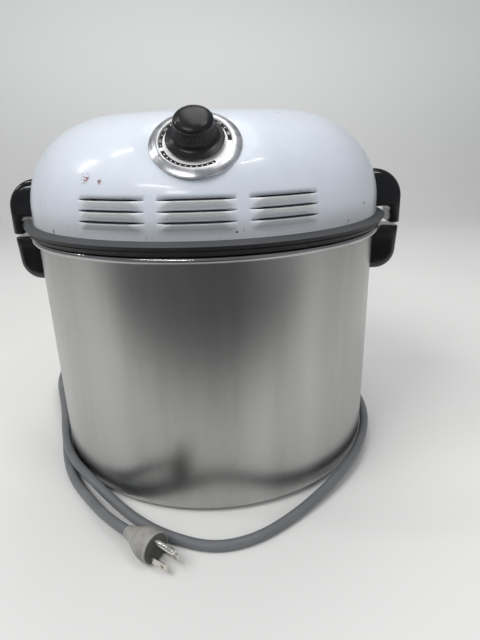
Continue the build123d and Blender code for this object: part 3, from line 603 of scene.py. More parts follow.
@dataclass(frozen=True)
class Tabletop(Finish):
    """Plain pale floor and backdrop, with a painted dark reflection: darker in front where the
    metal only mirrors it.
    """

    tint: Tint = (0.66, 0.655, 0.64)
    patch: Tint = (0.63, 0.625, 0.61)
    pale: Tint = (0.88, 0.88, 0.87)
    shade: Tint = (0.06, 0.06, 0.06)
    rise: Span = (0.0, 0.8)
    front: Span = (-0.23, -0.55)
    centre: float = -0.15
    middle: Span = (1.7, 0.5)

    def lay(self, bench: NodeBench) -> None:
        """Lay out a faintly uneven matt surface, pale wherever the camera sees it, with a painted
        dark reflection in front.

        Args:
            bench: The new material's nodes.
        """
        colour = bench.mix(bench.noise(6.0), self.tint, self.patch)
        ahead = bench.span(bench.along("Y"), *self.front)
        across = bench.maths("SUBTRACT", bench.along("X"), self.centre)
        aside = bench.span(bench.maths("ABSOLUTE", across, 0.0), *self.middle)
        seen = bench.add("LightPath").outputs["Is Camera Ray"]
        far = bench.times(bench.span(bench.along("Z"), *self.rise), seen)
        colour = bench.mix(far, colour, self.pale)
        # Painted reflection: in front, the floor turns dark only for mirrored rays, standing in
        # for a dark room.
        mirrored = bench.maths("SUBTRACT", 1.0, seen)
        share = bench.times(bench.times(ahead, aside), mirrored)
        colour = bench.mix(share, colour, self.shade)
        bench.shade(colour, 0.55, Specular_IOR_Level=0.25)


class Paintbox:
    """Materials made so far, one for each finish."""

    def __init__(self) -> None:
        """Start with no materials."""
        self.made: dict[Finish, Material] = {}

    def mix(self, finish: Finish) -> Material:
        """Return the material of a finish, making it the first time.

        Args:
            finish: The finish.

        Returns:
            Its material.
        """
        if finish not in self.made:
            self.made[finish] = finish.material()
        return self.made[finish]


class Turning:
    """Calls that shape bmeshes."""

    WELD = 0.002 * MM
    FLAT = math.radians(0.5)

    @staticmethod
    def spin(
        edit: BMesh,
        points: Sequence[Vector | Point],
        angle: float,
        steps: int,
        closed: bool = False,
        use_merge: bool = False,
    ) -> None:
        """Spin a chain of points about Z.

        Args:
            edit: The bmesh to add to.
            points: The chain.
            angle: How far it turns, in radians.
            steps: Number of steps in the turn.
            closed: Whether the last point joins the first.
            use_merge: Whether the end of a full turn joins its start.
        """
        verts = [edit.verts.new(point) for point in points]
        edges = [edit.edges.new(pair) for pair in zip(verts, verts[1:])]
        if closed:
            edges.append(edit.edges.new((verts[-1], verts[0])))
        bmesh.ops.spin(
            edit,
            geom=verts + edges,
            cent=ORIGIN,
            axis=UP,
            angle=angle,
            steps=steps,
            use_merge=use_merge,
        )

    @staticmethod
    def lathe(rings: Sequence[Ring], steps: int, closed: bool = False) -> BMesh:
        """Spin a profile once round Z.

        Args:
            rings: Radius and height of each point of the profile.
            steps: Number of steps in the full turn.
            closed: Whether the last point joins the first.

        Returns:
            A new bmesh.
        """
        edit = bmesh.new()
        points = [(radius, 0.0, height) for radius, height in rings]
        Turning.spin(edit, points, math.tau, steps, closed, use_merge=True)
        Turning.weld(edit)
        return edit

    @staticmethod
    def weld(edit: BMesh) -> None:
        """Merge doubled points and turn every face outwards."""
        bmesh.ops.remove_doubles(edit, verts=edit.verts[:], dist=Turning.WELD)
        bmesh.ops.recalc_face_normals(edit, faces=edit.faces[:])

    @staticmethod
    def line(points: Sequence[Vector | Point], kind: str) -> bpy.types.Curve:
        """Start a curve on points.

        Args:
            points: Its control points.
            kind: The type of its spline.

        Returns:
            The new curve's data.
        """
        curve = bpy.data.curves.new("line", "CURVE")
        curve.dimensions = "3D"
        spline = curve.splines.new(kind)
        spline.points.add(len(points) - 1)
        for knot, point in zip(spline.points, points):
            knot.co = (*point, 1.0)
        return curve

    @staticmethod
    def strand(
        edit: BMesh, points: Sequence[Vector], radius: float, closed: bool = False, sides: int = 4
    ) -> None:
        """Add a round wire along points.

        Args:
            edit: The bmesh to add to.
            points: The wire's centre line.
            radius: The wire's radius.
            closed: Whether the wire runs back into its start.
            sides: Quality of its round section.
        """
        curve = Turning.line(points, "POLY")
        curve.bevel_depth = radius
        curve.bevel_resolution = sides
        curve.use_fill_caps = not closed
        curve.splines[0].use_cyclic_u = closed
        Turning.absorb(edit, curve)

    @staticmethod
    def absorb(edit: BMesh, curve: bpy.types.Curve, place: Matrix = AS_IS) -> None:
        """Turn a curve or text into faces of a bmesh, and drop the curve.

        Args:
            edit: The bmesh to add to.
            curve: The curve's data.
            place: Where it goes.
        """
        holder = bpy.data.objects.new("strand", curve)
        mesh = bpy.data.meshes.new_from_object(holder)
        mesh.transform(place)
        edit.from_mesh(mesh)
        bpy.data.objects.remove(holder)
        bpy.data.curves.remove(curve)
        bpy.data.meshes.remove(mesh)

    @staticmethod
    def copy(edit: BMesh, node: str) -> None:
        """Add a CAD node's shape, with its triangles merged into whole faces.

        Args:
            edit: The bmesh to add to.
            node: The node's name.
        """
        edit.from_mesh(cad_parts[node].data)
        Turning.weld(edit)
        geom = {"verts": edit.verts[:], "edges": edit.edges[:]}
        bmesh.ops.dissolve_limit(edit, angle_limit=Turning.FLAT, **geom)

    @staticmethod
    def soften(edit: BMesh, edges: Sequence[BMEdge], width: float, segments: int = 3) -> None:
        """Round off edges.

        Args:
            edit: The bmesh.
            edges: The edges to round.
            width: Width of the rounding.
            segments: Steps across it.
        """
        bmesh.ops.bevel(
            edit,
            geom=list(edges),
            offset=width,
            offset_type="OFFSET",
            segments=segments,
            profile=0.5,
            affect="EDGES",
            clamp_overlap=True,
            material=-1,
        )

    @staticmethod
    def move(edit: BMesh, place: Matrix) -> None:
        """Move all of a bmesh."""
        bmesh.ops.transform(edit, matrix=place, verts=edit.verts[:])


@dataclass
class Assembly(ABC):
    """A sub-assembly: its pieces are built first and dressed after."""

    pieces: dict[str, Object] = field(default_factory=dict, init=False)

    @abstractmethod
    def build(self) -> None:
        """Make the pieces."""

    @abstractmethod
    def dress(self, paints: Paintbox) -> None:
        """Give the pieces their finishes."""

    def add(
        self,
        name: str,
        edit: BMesh,
        body: Body | None,
        stands_for: Sequence[str],
        crease: float = 32.0,
    ) -> Object:
        """Turn a bmesh into a piece.

        Args:
            name: The piece's name.
            edit: Its shape, freed here.
            body: The body it moves with, or None for a piece that moves with none.
            stands_for: CAD nodes that it replaces.
            crease: Angle in degrees above which an edge stays sharp.

        Returns:
            The new object.
        """
        for edge in edit.edges:
            if len(edge.link_faces) == 2 and edge.calc_face_angle() > math.radians(crease):
                edge.smooth = False
        piece = settle(name, edit)
        if body is not None:
            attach(piece, body.value)
        if stands_for:
            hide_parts(*stands_for)
        self.pieces[name] = piece
        return piece

    def paint(self, name: str, slot: Slot, *materials: Material) -> None:
        """Give a piece its materials.

        Args:
            name: The piece's name.
            slot: Its slot in the record; not used.
            materials: Its materials, in the order of its faces' indices.
        """
        piece = self.pieces[name]
        for material in materials:
            piece.data.materials.append(material)

    def report(self) -> None:
        """Log each piece."""
        for name, piece in self.pieces.items():
            log.info("%s: %d faces", name, len(piece.data.polygons))


@dataclass
class Viewpoint:
    """The camera, at the photograph's angle."""

    at: Point = (0.024525, -0.545828, 0.317002)
    yaw: float = 0.01061
    pitch: float = 0.33852
    roll: float = -0.03008
    lens: float = 29.56
    sensor: float = 36.0
    clip: float = 0.01

    def build(self) -> None:
        """Make the camera and let the scene use it."""
        data = bpy.data.cameras.new("camera")
        data.lens = self.lens
        data.sensor_fit = "VERTICAL"
        data.sensor_height = self.sensor
        data.clip_start = self.clip
        level = math.cos(self.pitch)
        east, north = math.sin(self.yaw), math.cos(self.yaw)
        ahead = Vector((east * level, north * level, -math.sin(self.pitch)))
        right = Vector((north, -east, 0.0))
        up = right.cross(ahead)
        across = math.cos(self.roll) * right + math.sin(self.roll) * up
        upright = math.cos(self.roll) * up - math.sin(self.roll) * right
        camera = show("camera", data)
        camera.matrix_world = frame_of(self.at, across, upright, -ahead)
        bpy.context.scene.camera = camera


@dataclass(frozen=True)
class Lamp:
    """One soft rectangular light."""

    name: str
    at: Point
    aim: Point
    size: Span
    power: float
    mirrored: bool = False

    def build(self) -> None:
        """Hang the light."""
        data = bpy.data.lights.new(self.name, "AREA")
        data.shape = "RECTANGLE"
        data.size, data.size_y = self.size
        data.energy = self.power
        lamp = show(self.name, data)
        ahead = Vector(self.aim) - Vector(self.at)
        turn = ahead.to_track_quat("-Z", "Y").to_matrix().to_4x4()
        lamp.matrix_world = Matrix.Translation(self.at) @ turn
        lamp.visible_glossy = self.mirrored


@dataclass
class Studio:
    """Pale floor that curves up into a backdrop, soft world light and lamps."""

    half_width: float = 4.0
    front: float = -4.0
    back: float = 2.2
    height: float = 3.0
    bend: float = 0.8
    bend_steps: int = 16
    world: Tint = (0.60, 0.63, 0.68)
    strength: float = 0.40
    view: str = "Standard"
    lamps: tuple[Lamp, ...] = (
        Lamp("key", (-0.9, -0.9, 1.7), (0.0, 0.0, 0.15), (1.0, 0.8), 24.0),
        Lamp("fill", (1.5, -1.2, 1.0), (0.0, 0.0, 0.15), (0.9, 0.9), 10.0),
        Lamp("rear", (0.2, 1.2, 1.7), (0.0, 0.1, 0.25), (1.4, 0.7), 12.0),
        Lamp("over", (0.15, 0.05, 1.9), (0.0, 0.0, 0.3), (1.6, 1.0), 8.0, True),
        Lamp("strip_far", (-2.15, 0.17, 1.9), (0.0, 0.0, 0.3), (0.09, 0.50), 4.0, True),
        Lamp("strip_left", (-1.10, -0.01, 1.9), (0.0, 0.0, 0.3), (0.08, 0.36), 2.0, True),
        Lamp("strip_right", (0.80, -0.75, 1.9), (0.0, 0.0, 0.3), (0.45, 0.07), 2.2, True),
        Lamp("strip_near", (-1.28, -2.12, 1.9), (0.0, 0.0, 0.3), (1.10, 0.09), 7.5, True),
        Lamp("strip_front", (-0.85, -3.00, 1.9), (0.0, 0.0, 0.3), (0.80, 0.10), 7.0, True),
    )

    def build(self, paints: Paintbox) -> None:
        """Lay the floor and hang the lights.

        Args:
            paints: Where the floor's material comes from.
        """
        edit = bmesh.new()
        near = [edit.verts.new((side * self.half_width, self.front, 0.0)) for side in (-1, 1)]
        edge = edit.edges.new(near)
        for shift in ((0.0, self.back - self.front, 0.0), (0.0, 0.0, self.height)):
            grown = bmesh.ops.extrude_edge_only(edit, edges=[edge])["geom"]
            verts = [item for item in grown if isinstance(item, BMVert)]
            bmesh.ops.translate(edit, verts=verts, vec=shift)
            edge = next(item for item in grown if isinstance(item, BMEdge))
        fold = [item for item in edit.edges if len(item.link_faces) == 2]
        Turning.soften(edit, fold, self.bend, self.bend_steps)
        floor = settle("floor", edit)
        floor.data.materials.append(paints.mix(Tabletop("tabletop")))
        for lamp in self.lamps:
            lamp.build()
        world = bpy.data.worlds.new("studio")
        world.use_nodes = True
        sky = world.node_tree.nodes["Background"]
        sky.inputs["Color"].default_value = (*self.world, 1.0)
        sky.inputs["Strength"].default_value = self.strength
        bpy.context.scene.world = world
        bpy.context.scene.view_settings.view_transform = self.view


@dataclass
class PowerCord(Assembly):
    """The cord, from the head once round the kettle to the plug."""

    diameter: float = 9.0 * MM
    route: tuple[Point, ...] = (
        (0.0, 0.2003, 0.262), (0.0, 0.237, 0.262), (-0.016, 0.268, 0.252), (-0.05, 0.288, 0.226),
        (-0.09, 0.29, 0.19), (-0.13, 0.275, 0.145), (-0.165, 0.246, 0.1), (-0.192, 0.206, 0.058),
        (-0.21, 0.16, 0.028), (-0.214, 0.118, 0.015), (-0.206, 0.081, 0.0142),
        (-0.181, 0.016, 0.0142), (-0.16, -0.054, 0.0142), (-0.141, -0.0925, 0.0142),
        (-0.117, -0.1215, 0.013), (-0.092, -0.146, 0.006), (-0.064, -0.174, 0.0046),
        (-0.035, -0.194, 0.0046), (0.0, -0.208, 0.0046), (0.034, -0.201, 0.0046),
        (0.066, -0.1785, 0.005), (0.097, -0.15, 0.008), (0.126, -0.117, 0.012),
        (0.149, -0.08, 0.0145), (0.165, -0.036, 0.016), (0.1705, 0.008, 0.017),
        (0.165, 0.05, 0.018), (0.148, 0.09, 0.018), (0.12, 0.126, 0.017), (0.08, 0.156, 0.014),
        (0.032, 0.176, 0.009), (-0.02, 0.184, 0.0046), (-0.075, 0.184, 0.0046),
        (-0.13, 0.174, 0.0046), (-0.178, 0.142, 0.0046), (-0.203, 0.098, 0.0046),
        (-0.197, 0.06, 0.0046), (-0.175, -0.005, 0.0046), (-0.153, -0.078, 0.0046),
        (-0.134, -0.116, 0.0046), (-0.109, -0.149, 0.0055), (-0.0862, -0.1813, 0.0135),
        (-0.069, -0.195, 0.0135),
    )
    lifts_above: float = 258.0 * MM
    lies_below: float = 20.0 * MM
    order: int = 3
    resolution: int = 8
    path: list[Vector] = field(default_factory=list, init=False)

    def build(self) -> None:
        """Follow the route with a round tube."""
        curve = Turning.line(self.route, "NURBS")
        spline = curve.splines[0]
        spline.order_u = self.order
        spline.use_endpoint_u = True
        spline.resolution_u = self.resolution
        middle = bmesh.new()
        Turning.absorb(middle, curve)
        self.path = [vert.co.copy() for vert in middle.verts]
        middle.free()
        edit = bmesh.new()
        Turning.strand(edit, self.path, self.diameter / 2, sides=5)
        Turning.weld(edit)
        tube = self.add("cord_tube", edit, None, ("power_cord",), crease=60.0)
        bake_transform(tube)

    def dress(self, paints: Paintbox) -> None:
        """Give the cord grey vinyl.

        Args:
            paints: Where the materials come from.
        """
        vinyl = Moulded(
            "cord_vinyl", (0.122, 0.128, 0.134), (0.152, 0.156, 0.160), (0.36, 0.50), 1600.0, 60.0
        )
        self.paint("cord_tube", Slot.CORD, paints.mix(vinyl))

    def declare(self, plug: Sequence[Object]) -> None:
        """Do nothing with the plug's pieces.

        Args:
            plug: The pieces at its far end; not used.
        """


@dataclass
class Plug(Assembly):
    """Moulded plug with two blades and a round earth pin."""

    base: Point = (-0.069, -0.195, 0.0135)
    heading: Point = (0.0172, -0.0137, 0.0)
    tail: tuple[Ring, ...] = mm(
        (0.0, 0.0), (4.7, 0.0), (5.4, 1.2), (6.0, 4.0), (6.9, 8.0), (8.6, 12.0), (10.6, 16.0),
        (12.2, 20.0), (13.0, 23.5),
    )
    groove: tuple[Ring, ...] = mm(
        (13.2, 25.2), (12.8, 25.5), (12.8, 25.9), (13.2, 26.2),
    )
    groove_pitch: float = 2.0 * MM
    grooves: int = 3
    head: tuple[Ring, ...] = mm(
        (13.2, 32.2), (12.8, 32.8), (12.2, 33.0), (0.0, 33.0),
    )
    face: float = 32.95 * MM
    face_radius: float = 12.3 * MM
    pin_rise: float = 7.0 * MM
    pin: tuple[Ring, ...] = mm(
        (0.0, 0.0), (2.4, 0.0), (2.4, 19.0), (2.1, 19.8), (1.4, 20.4), (0.0, 20.6),
    )
    pin_steps: int = 24
    sharp: float = math.radians(60)
    blade_edge: float = 0.25 * MM
    steps: int = 64

    def place(self) -> Matrix:
        """Return the plug's frame: X up, Z along its axis.

        Returns:
            The frame as a matrix.
        """
        along = Vector(self.heading).normalized()
        up = Vector(UP)
        return frame_of(self.base, up, along.cross(up), along)

    def rings(self) -> list[Ring]:
        """Return the section, from the cord over the grooves to the face.

        Returns:
            Radius and height of each point.
        """
        shifts = [self.groove_pitch * step for step in range(self.grooves)]
        cuts = [(radius, along + shift) for shift in shifts for radius, along in self.groove]
        return [*self.tail, *cuts, *self.head]

    def build(self) -> None:
        """Turn the body and the earth pin, and round the blades' edges."""
        edit = Turning.lathe(self.rings(), self.steps)
        for face in edit.faces:
            middle = face.calc_center_median()
            if middle.z > self.face and middle.xy.length < self.face_radius:
                face.material_index = 1
        Turning.move(edit, self.place())
        self.add("plug_moulding", edit, Body.KETTLE, ("plug_body",))
        edit = Turning.lathe(self.pin, self.pin_steps)
        spot = Matrix.Translation((self.pin_rise, 0.0, self.face))
        Turning.move(edit, self.place() @ spot)
        self.add("earth_pin", edit, Body.KETTLE, ("plug_ground_pin",))
        edit = bmesh.new()
        Turning.copy(edit, "plug_blades")
        edges = [edge for edge in edit.edges if edge.calc_face_angle(0.0) > self.sharp]
        Turning.soften(edit, edges, self.blade_edge, 2)
        self.add("blades", edit, Body.KETTLE, ("plug_blades",))

    def dress(self, paints: Paintbox) -> None:
        """Give the plug vinyl, and the pins bright metal.

        Args:
            paints: Where the materials come from.
        """
        front = Moulded("plug_front", (0.05, 0.05, 0.048), (0.08, 0.08, 0.076), (0.45, 0.6))
        vinyl = PlugVinyl("plug_vinyl")
        self.paint("plug_moulding", Slot.PLUG, paints.mix(vinyl), paints.mix(front))
        bright = Metal("pin_metal", (0.80, 0.78, 0.72), (0.60, 0.57, 0.50), (0.16, 0.30))
        self.paint("earth_pin", Slot.BRASS, paints.mix(bright))
        self.paint("blades", Slot.BRASS, paints.mix(bright))


@dataclass
class Kettle(Assembly):
    """Drawn aluminium kettle with a rolled rim."""

    radius: float = 165.0 * MM
    foot_radius: float = 162.0 * MM
    wall: float = 2.0 * MM
    floor: float = 3.0 * MM
    corner: float = 11.0 * MM
    inner_corner: float = 8.0 * MM
    bead_radius: float = 3.0 * MM
    bead_height: float = 231.2 * MM
    lip: float = 1.0 * MM
    steps: int = 256

    def rings(self) -> list[Ring]:
        """Return the section, from the centre of the base round the rim to the floor.

        Returns:
            Radius and height of each point.
        """
        inside = self.radius - self.wall
        foot_inside = self.foot_radius - self.wall
        top = self.bead_height + self.bead_radius
        bead = (self.radius + self.bead_radius, self.bead_height)
        section = [(0.0, 0.0), (0.5 * self.foot_radius, 0.0)]
        section += arc((self.foot_radius - self.corner, self.corner), self.corner, -90.0, 0.0, 8)
        section += arc(bead, self.bead_radius, 205.0, 450.0, 18)
        section += arc((inside + self.lip, top - self.lip), self.lip, 90.0, 180.0, 4)
        low = (foot_inside - self.inner_corner, self.floor + self.inner_corner)
        section += arc(low, self.inner_corner, 0.0, -90.0, 6)
        section += [(0.5 * foot_inside, self.floor), (0.0, self.floor)]
        return section

    def build(self) -> None:
        """Turn the kettle, its inside marked for a brighter finish."""
        edit = Turning.lathe(self.rings(), self.steps)
        for face in edit.faces:
            middle = face.calc_center_median()
            on_floor = face.normal.z > 0 and middle.z < self.floor + self.inner_corner
            if on_floor or face.normal.xy.dot(middle.xy) < 0:
                face.material_index = 1
        self.add("kettle_shell", edit, Body.KETTLE, ("kettle",))

    def dress(self, paints: Paintbox) -> None:
        """Give the kettle satin aluminium, lighter inside.

        Args:
            paints: Where the materials come from.
        """
        outside = SatinAluminium("satin_aluminium")
        inside = SatinAluminium(
            "satin_inside", (0.78, 0.776, 0.765), (0.70, 0.697, 0.69), (0.84, 0.836, 0.825)
        )
        self.paint("kettle_shell", Slot.KETTLE, paints.mix(outside), paints.mix(inside))


@dataclass
class DialSeat:
    """The tilted plane that the dial and the knob stand on."""

    origin: Point = (0.0, -137.7296 * MM, 311.4559 * MM)
    tilt: float = 41.5

    def place(self) -> Matrix:
        """Return the dial's frame: Z out of the cover, Y up its slope.

        Returns:
            The frame as a matrix.
        """
        lean = math.radians(self.tilt)
        out = Vector((0.0, -math.sin(lean), math.cos(lean)))
        across = Vector(ACROSS)
        return frame_of(self.origin, across, out.cross(across), out)

    def axis(self) -> Point:
        """Return the dial's axis."""
        return tuple(self.place().to_3x3().col[2])


@dataclass
class HeadCover(Assembly):
    """Pressed dome with a flat for the dial and nine lanced louvres."""

    radius: float = 167.6 * MM
    sheet: float = 1.2 * MM
    edge: float = 238.0 * MM
    shoulder: float = 256.9 * MM
    low_radius: float = 77.2 * MM
    high_radius: float = 88.7 * MM
    join: float = 45.0
    crown_slope: float = 5.0
    rows: tuple[float, ...] = (258.1 * MM, 266.2 * MM, 274.3 * MM)
    groups: tuple[float, ...] = (-23.2, 0.0, 23.2)
    louvre_arc: float = 20.5
    drop: float = 6.2 * MM
    reach: float = 3.4 * MM
    slot: float = 1.0 * MM
    slot_end: float = 0.1 * MM
    cheek: float = 1.8
    point: float = 4.5
    lip_steps: int = 5
    lip_curve: float = 1.15
    lip_light_ramp: float = 1.5
    wear_power: int = 4
    open_share: float = 0.01
    skirt: tuple[float, ...] = (0.0, 6.0 * MM, 11.0 * MM)
    dome_steps: int = 26
    crown_shares: tuple[float, ...] = (0.8, 0.6, 0.4, 0.2, 0.0)
    front: float = 40.0
    front_steps: int = 200
    back_steps: int = 150
    seat: DialSeat = field(default_factory=DialSeat)

    def lean_point(self, lean: float) -> Ring:
        """Return radius and height where the dome's wall leans in by an angle in degrees.

        Args:
            lean: The angle from upright.

        Returns:
            Radius and height there.
        """
        join = math.radians(self.join)
        low = math.radians(min(lean, self.join))
        high = math.radians(max(lean, self.join))
        across = self.low_radius * (1 - math.cos(low))
        across += self.high_radius * (math.cos(join) - math.cos(high))
        up = self.low_radius * math.sin(low) + self.high_radius * (math.sin(high) - math.sin(join))
        return self.radius - across, self.shoulder + up

    def wall_radius(self, height: float) -> float:
        """Return the outer radius at a height on the wall or the lower shoulder."""
        climb = max(0.0, height - self.shoulder) / self.low_radius
        return self.radius - self.low_radius * (1 - math.sqrt(1 - climb**2))

    def rings(self) -> list[Ring]:
        """Return the outer section, from the edge up to the centre of the crown.

        Returns:
            Radius and height of each point.
        """
        heights = [self.edge + rise for rise in self.skirt]
        for row in self.rows:
            foot = row - self.drop
            rises = [self.drop * step / self.lip_steps for step in range(self.lip_steps + 1)]
            heights += [*(foot + rise for rise in rises), row + self.slot]
        section = [(self.wall_radius(height), height) for height in heights]
        last = math.degrees(math.asin((heights[-1] - self.shoulder) / self.low_radius))
        steep = 90.0 - self.crown_slope
        for step in range(1, self.dome_steps + 1):
            section.append(self.lean_point(last + (steep - last) * step / self.dome_steps))
        rim, foot = section[-1]
        sphere = rim / math.sin(math.radians(self.crown_slope))
        level = foot - sphere * math.cos(math.radians(self.crown_slope))
        for share in self.crown_shares:
            section.append((rim * share, level + math.sqrt(sphere**2 - (rim * share) ** 2)))
        return section

    def end_share(self, turn: float, taper: float) -> float:
        """Return how fully a louvre stands out at an angle.

        Args:
            turn: The angle round the cover, in degrees from the front.
            taper: How much of the arc its end takes to come up, in degrees.

        Returns:
            A share from 0 at the louvre's ends to 1.
        """
        best = 0.0
        for group in self.groups:
            inside = (self.louvre_arc / 2 - abs(turn - group)) / taper
            best = max(best, min(1.0, inside))
        return best * best * (3 - 2 * best)

    @staticmethod
    def turn_of(point: Vector) -> float:
        """Return a point's angle round the cover, in degrees from the front."""
        return math.degrees(math.atan2(point.x, -point.y))

    def lance(self, edit: BMesh) -> None:
        """Push the louvres' lips out, open their slots, and paint rust wear and the lips' painted
        light on the points.

        Args:
            edit: The spun dome.
        """
        wear = edit.verts.layers.float.new("wear")
        # The lip layer carries painted light for the louvre lips.
        lip = edit.verts.layers.float.new("lip")
        for vert in edit.verts:
            turn = self.turn_of(vert.co)
            full = self.end_share(turn, self.point)
            for row in self.rows:
                rise = (vert.co.z - row + self.drop) / self.drop
                if 0 < rise < 1 + 1e-4:
                    share = self.end_share(turn, between(self.cheek, self.point, rise**2))
                    out = vert.co.xy.normalized() * self.reach * share * rise**self.lip_curve
                    vert.co += out.to_3d()
                    # Painted light: the share of the lighter lip colour, against the lips' shade.
                    vert[lip] = max(vert[lip], share * min(1.0, self.lip_light_ramp * rise))
                    vert[wear] = max(vert[wear], share * rise**self.wear_power)
                elif full > 0 and abs(vert.co.z - row - self.slot) < 1e-6:
                    level = row + between(self.slot_end, self.slot, full)
                    edge = vert.co.xy.normalized() * self.wall_radius(level)
                    vert.co = Vector((edge.x, edge.y, level))
                    vert[wear] = full
        open_faces = []
        for face in edit.faces:
            middle = face.calc_center_median()
            if self.end_share(self.turn_of(middle), self.point) > self.open_share:
                if any(row < middle.z < row + self.slot for row in self.rows):
                    open_faces.append(face)
        bmesh.ops.delete(edit, geom=open_faces, context="FACES_ONLY")

    def build(self) -> None:
        """Spin the dome finely at the front, lance it and cut the dial's flat."""
        edit = bmesh.new()
        turns = (
            (-self.front, 2 * self.front, self.front_steps),
            (self.front, 360.0 - 2 * self.front, self.back_steps),
        )
        for start, sweep, steps in turns:
            angle = math.radians(start - 90.0)
            points = [polar(angle, radius, height) for radius, height in self.rings()]
            Turning.spin(edit, points, math.radians(sweep), steps)
        Turning.weld(edit)
        self.lance(edit)
        cut = bmesh.ops.bisect_plane(
            edit,
            geom=edit.verts[:] + edit.edges[:] + edit.faces[:],
            dist=1e-6,
            plane_co=self.seat.origin,
            plane_no=self.seat.axis(),
            clear_outer=True,
        )
        loop = [item for item in cut["geom_cut"] if isinstance(item, BMEdge)]
        bmesh.ops.edgeloop_fill(edit, edges=loop)
        bmesh.ops.recalc_face_normals(edit, faces=edit.faces[:])
        cover = self.add("cover_shell", edit, Body.HEAD, ("head_cover",), crease=24.0)
        solid = cover.modifiers.new("sheet", "SOLIDIFY")
        solid.thickness = self.sheet
        solid.offset = -1.0
        solid.material_offset = 1
        solid.material_offset_rim = 1

    def dress(self, paints: Paintbox) -> None:
        """Give the cover enamel, with a dark ground coat inside."""
        ground = Moulded("ground_coat", (0.03, 0.03, 0.035), (0.05, 0.05, 0.055), (0.5, 0.7))
        self.paint("cover_shell", Slot.ENAMEL, paints.mix(Enamel("enamel")), paints.mix(ground))


@dataclass
class RimGasket(Assembly):
    """Rubber ring between head and kettle."""

    rings: tuple[Ring, ...] = mm(
        (167.65, 238.0), (167.65, 245.4), (168.4, 245.3), (172.2, 243.9), (175.2, 242.95),
        (175.9, 242.6), (175.8, 242.1), (173.9, 239.6), (173.1, 239.2), (172.7, 238.7),
        (173.0, 238.2), (171.2, 235.3), (170.4, 234.5), (162.7, 234.5), (160.9, 229.2),
        (160.5, 229.4), (160.5, 238.0),
    )
    steps: int = 256

    def build(self) -> None:
        """Turn the ring."""
        edit = Turning.lathe(self.rings, self.steps, closed=True)
        self.add("gasket_ring", edit, Body.HEAD, ("rim_gasket",), crease=40.0)

    def dress(self, paints: Paintbox) -> None:
        """Give the ring rubber."""
        self.paint("gasket_ring", Slot.GASKET, paints.mix(GasketRubber("gasket_rubber")))


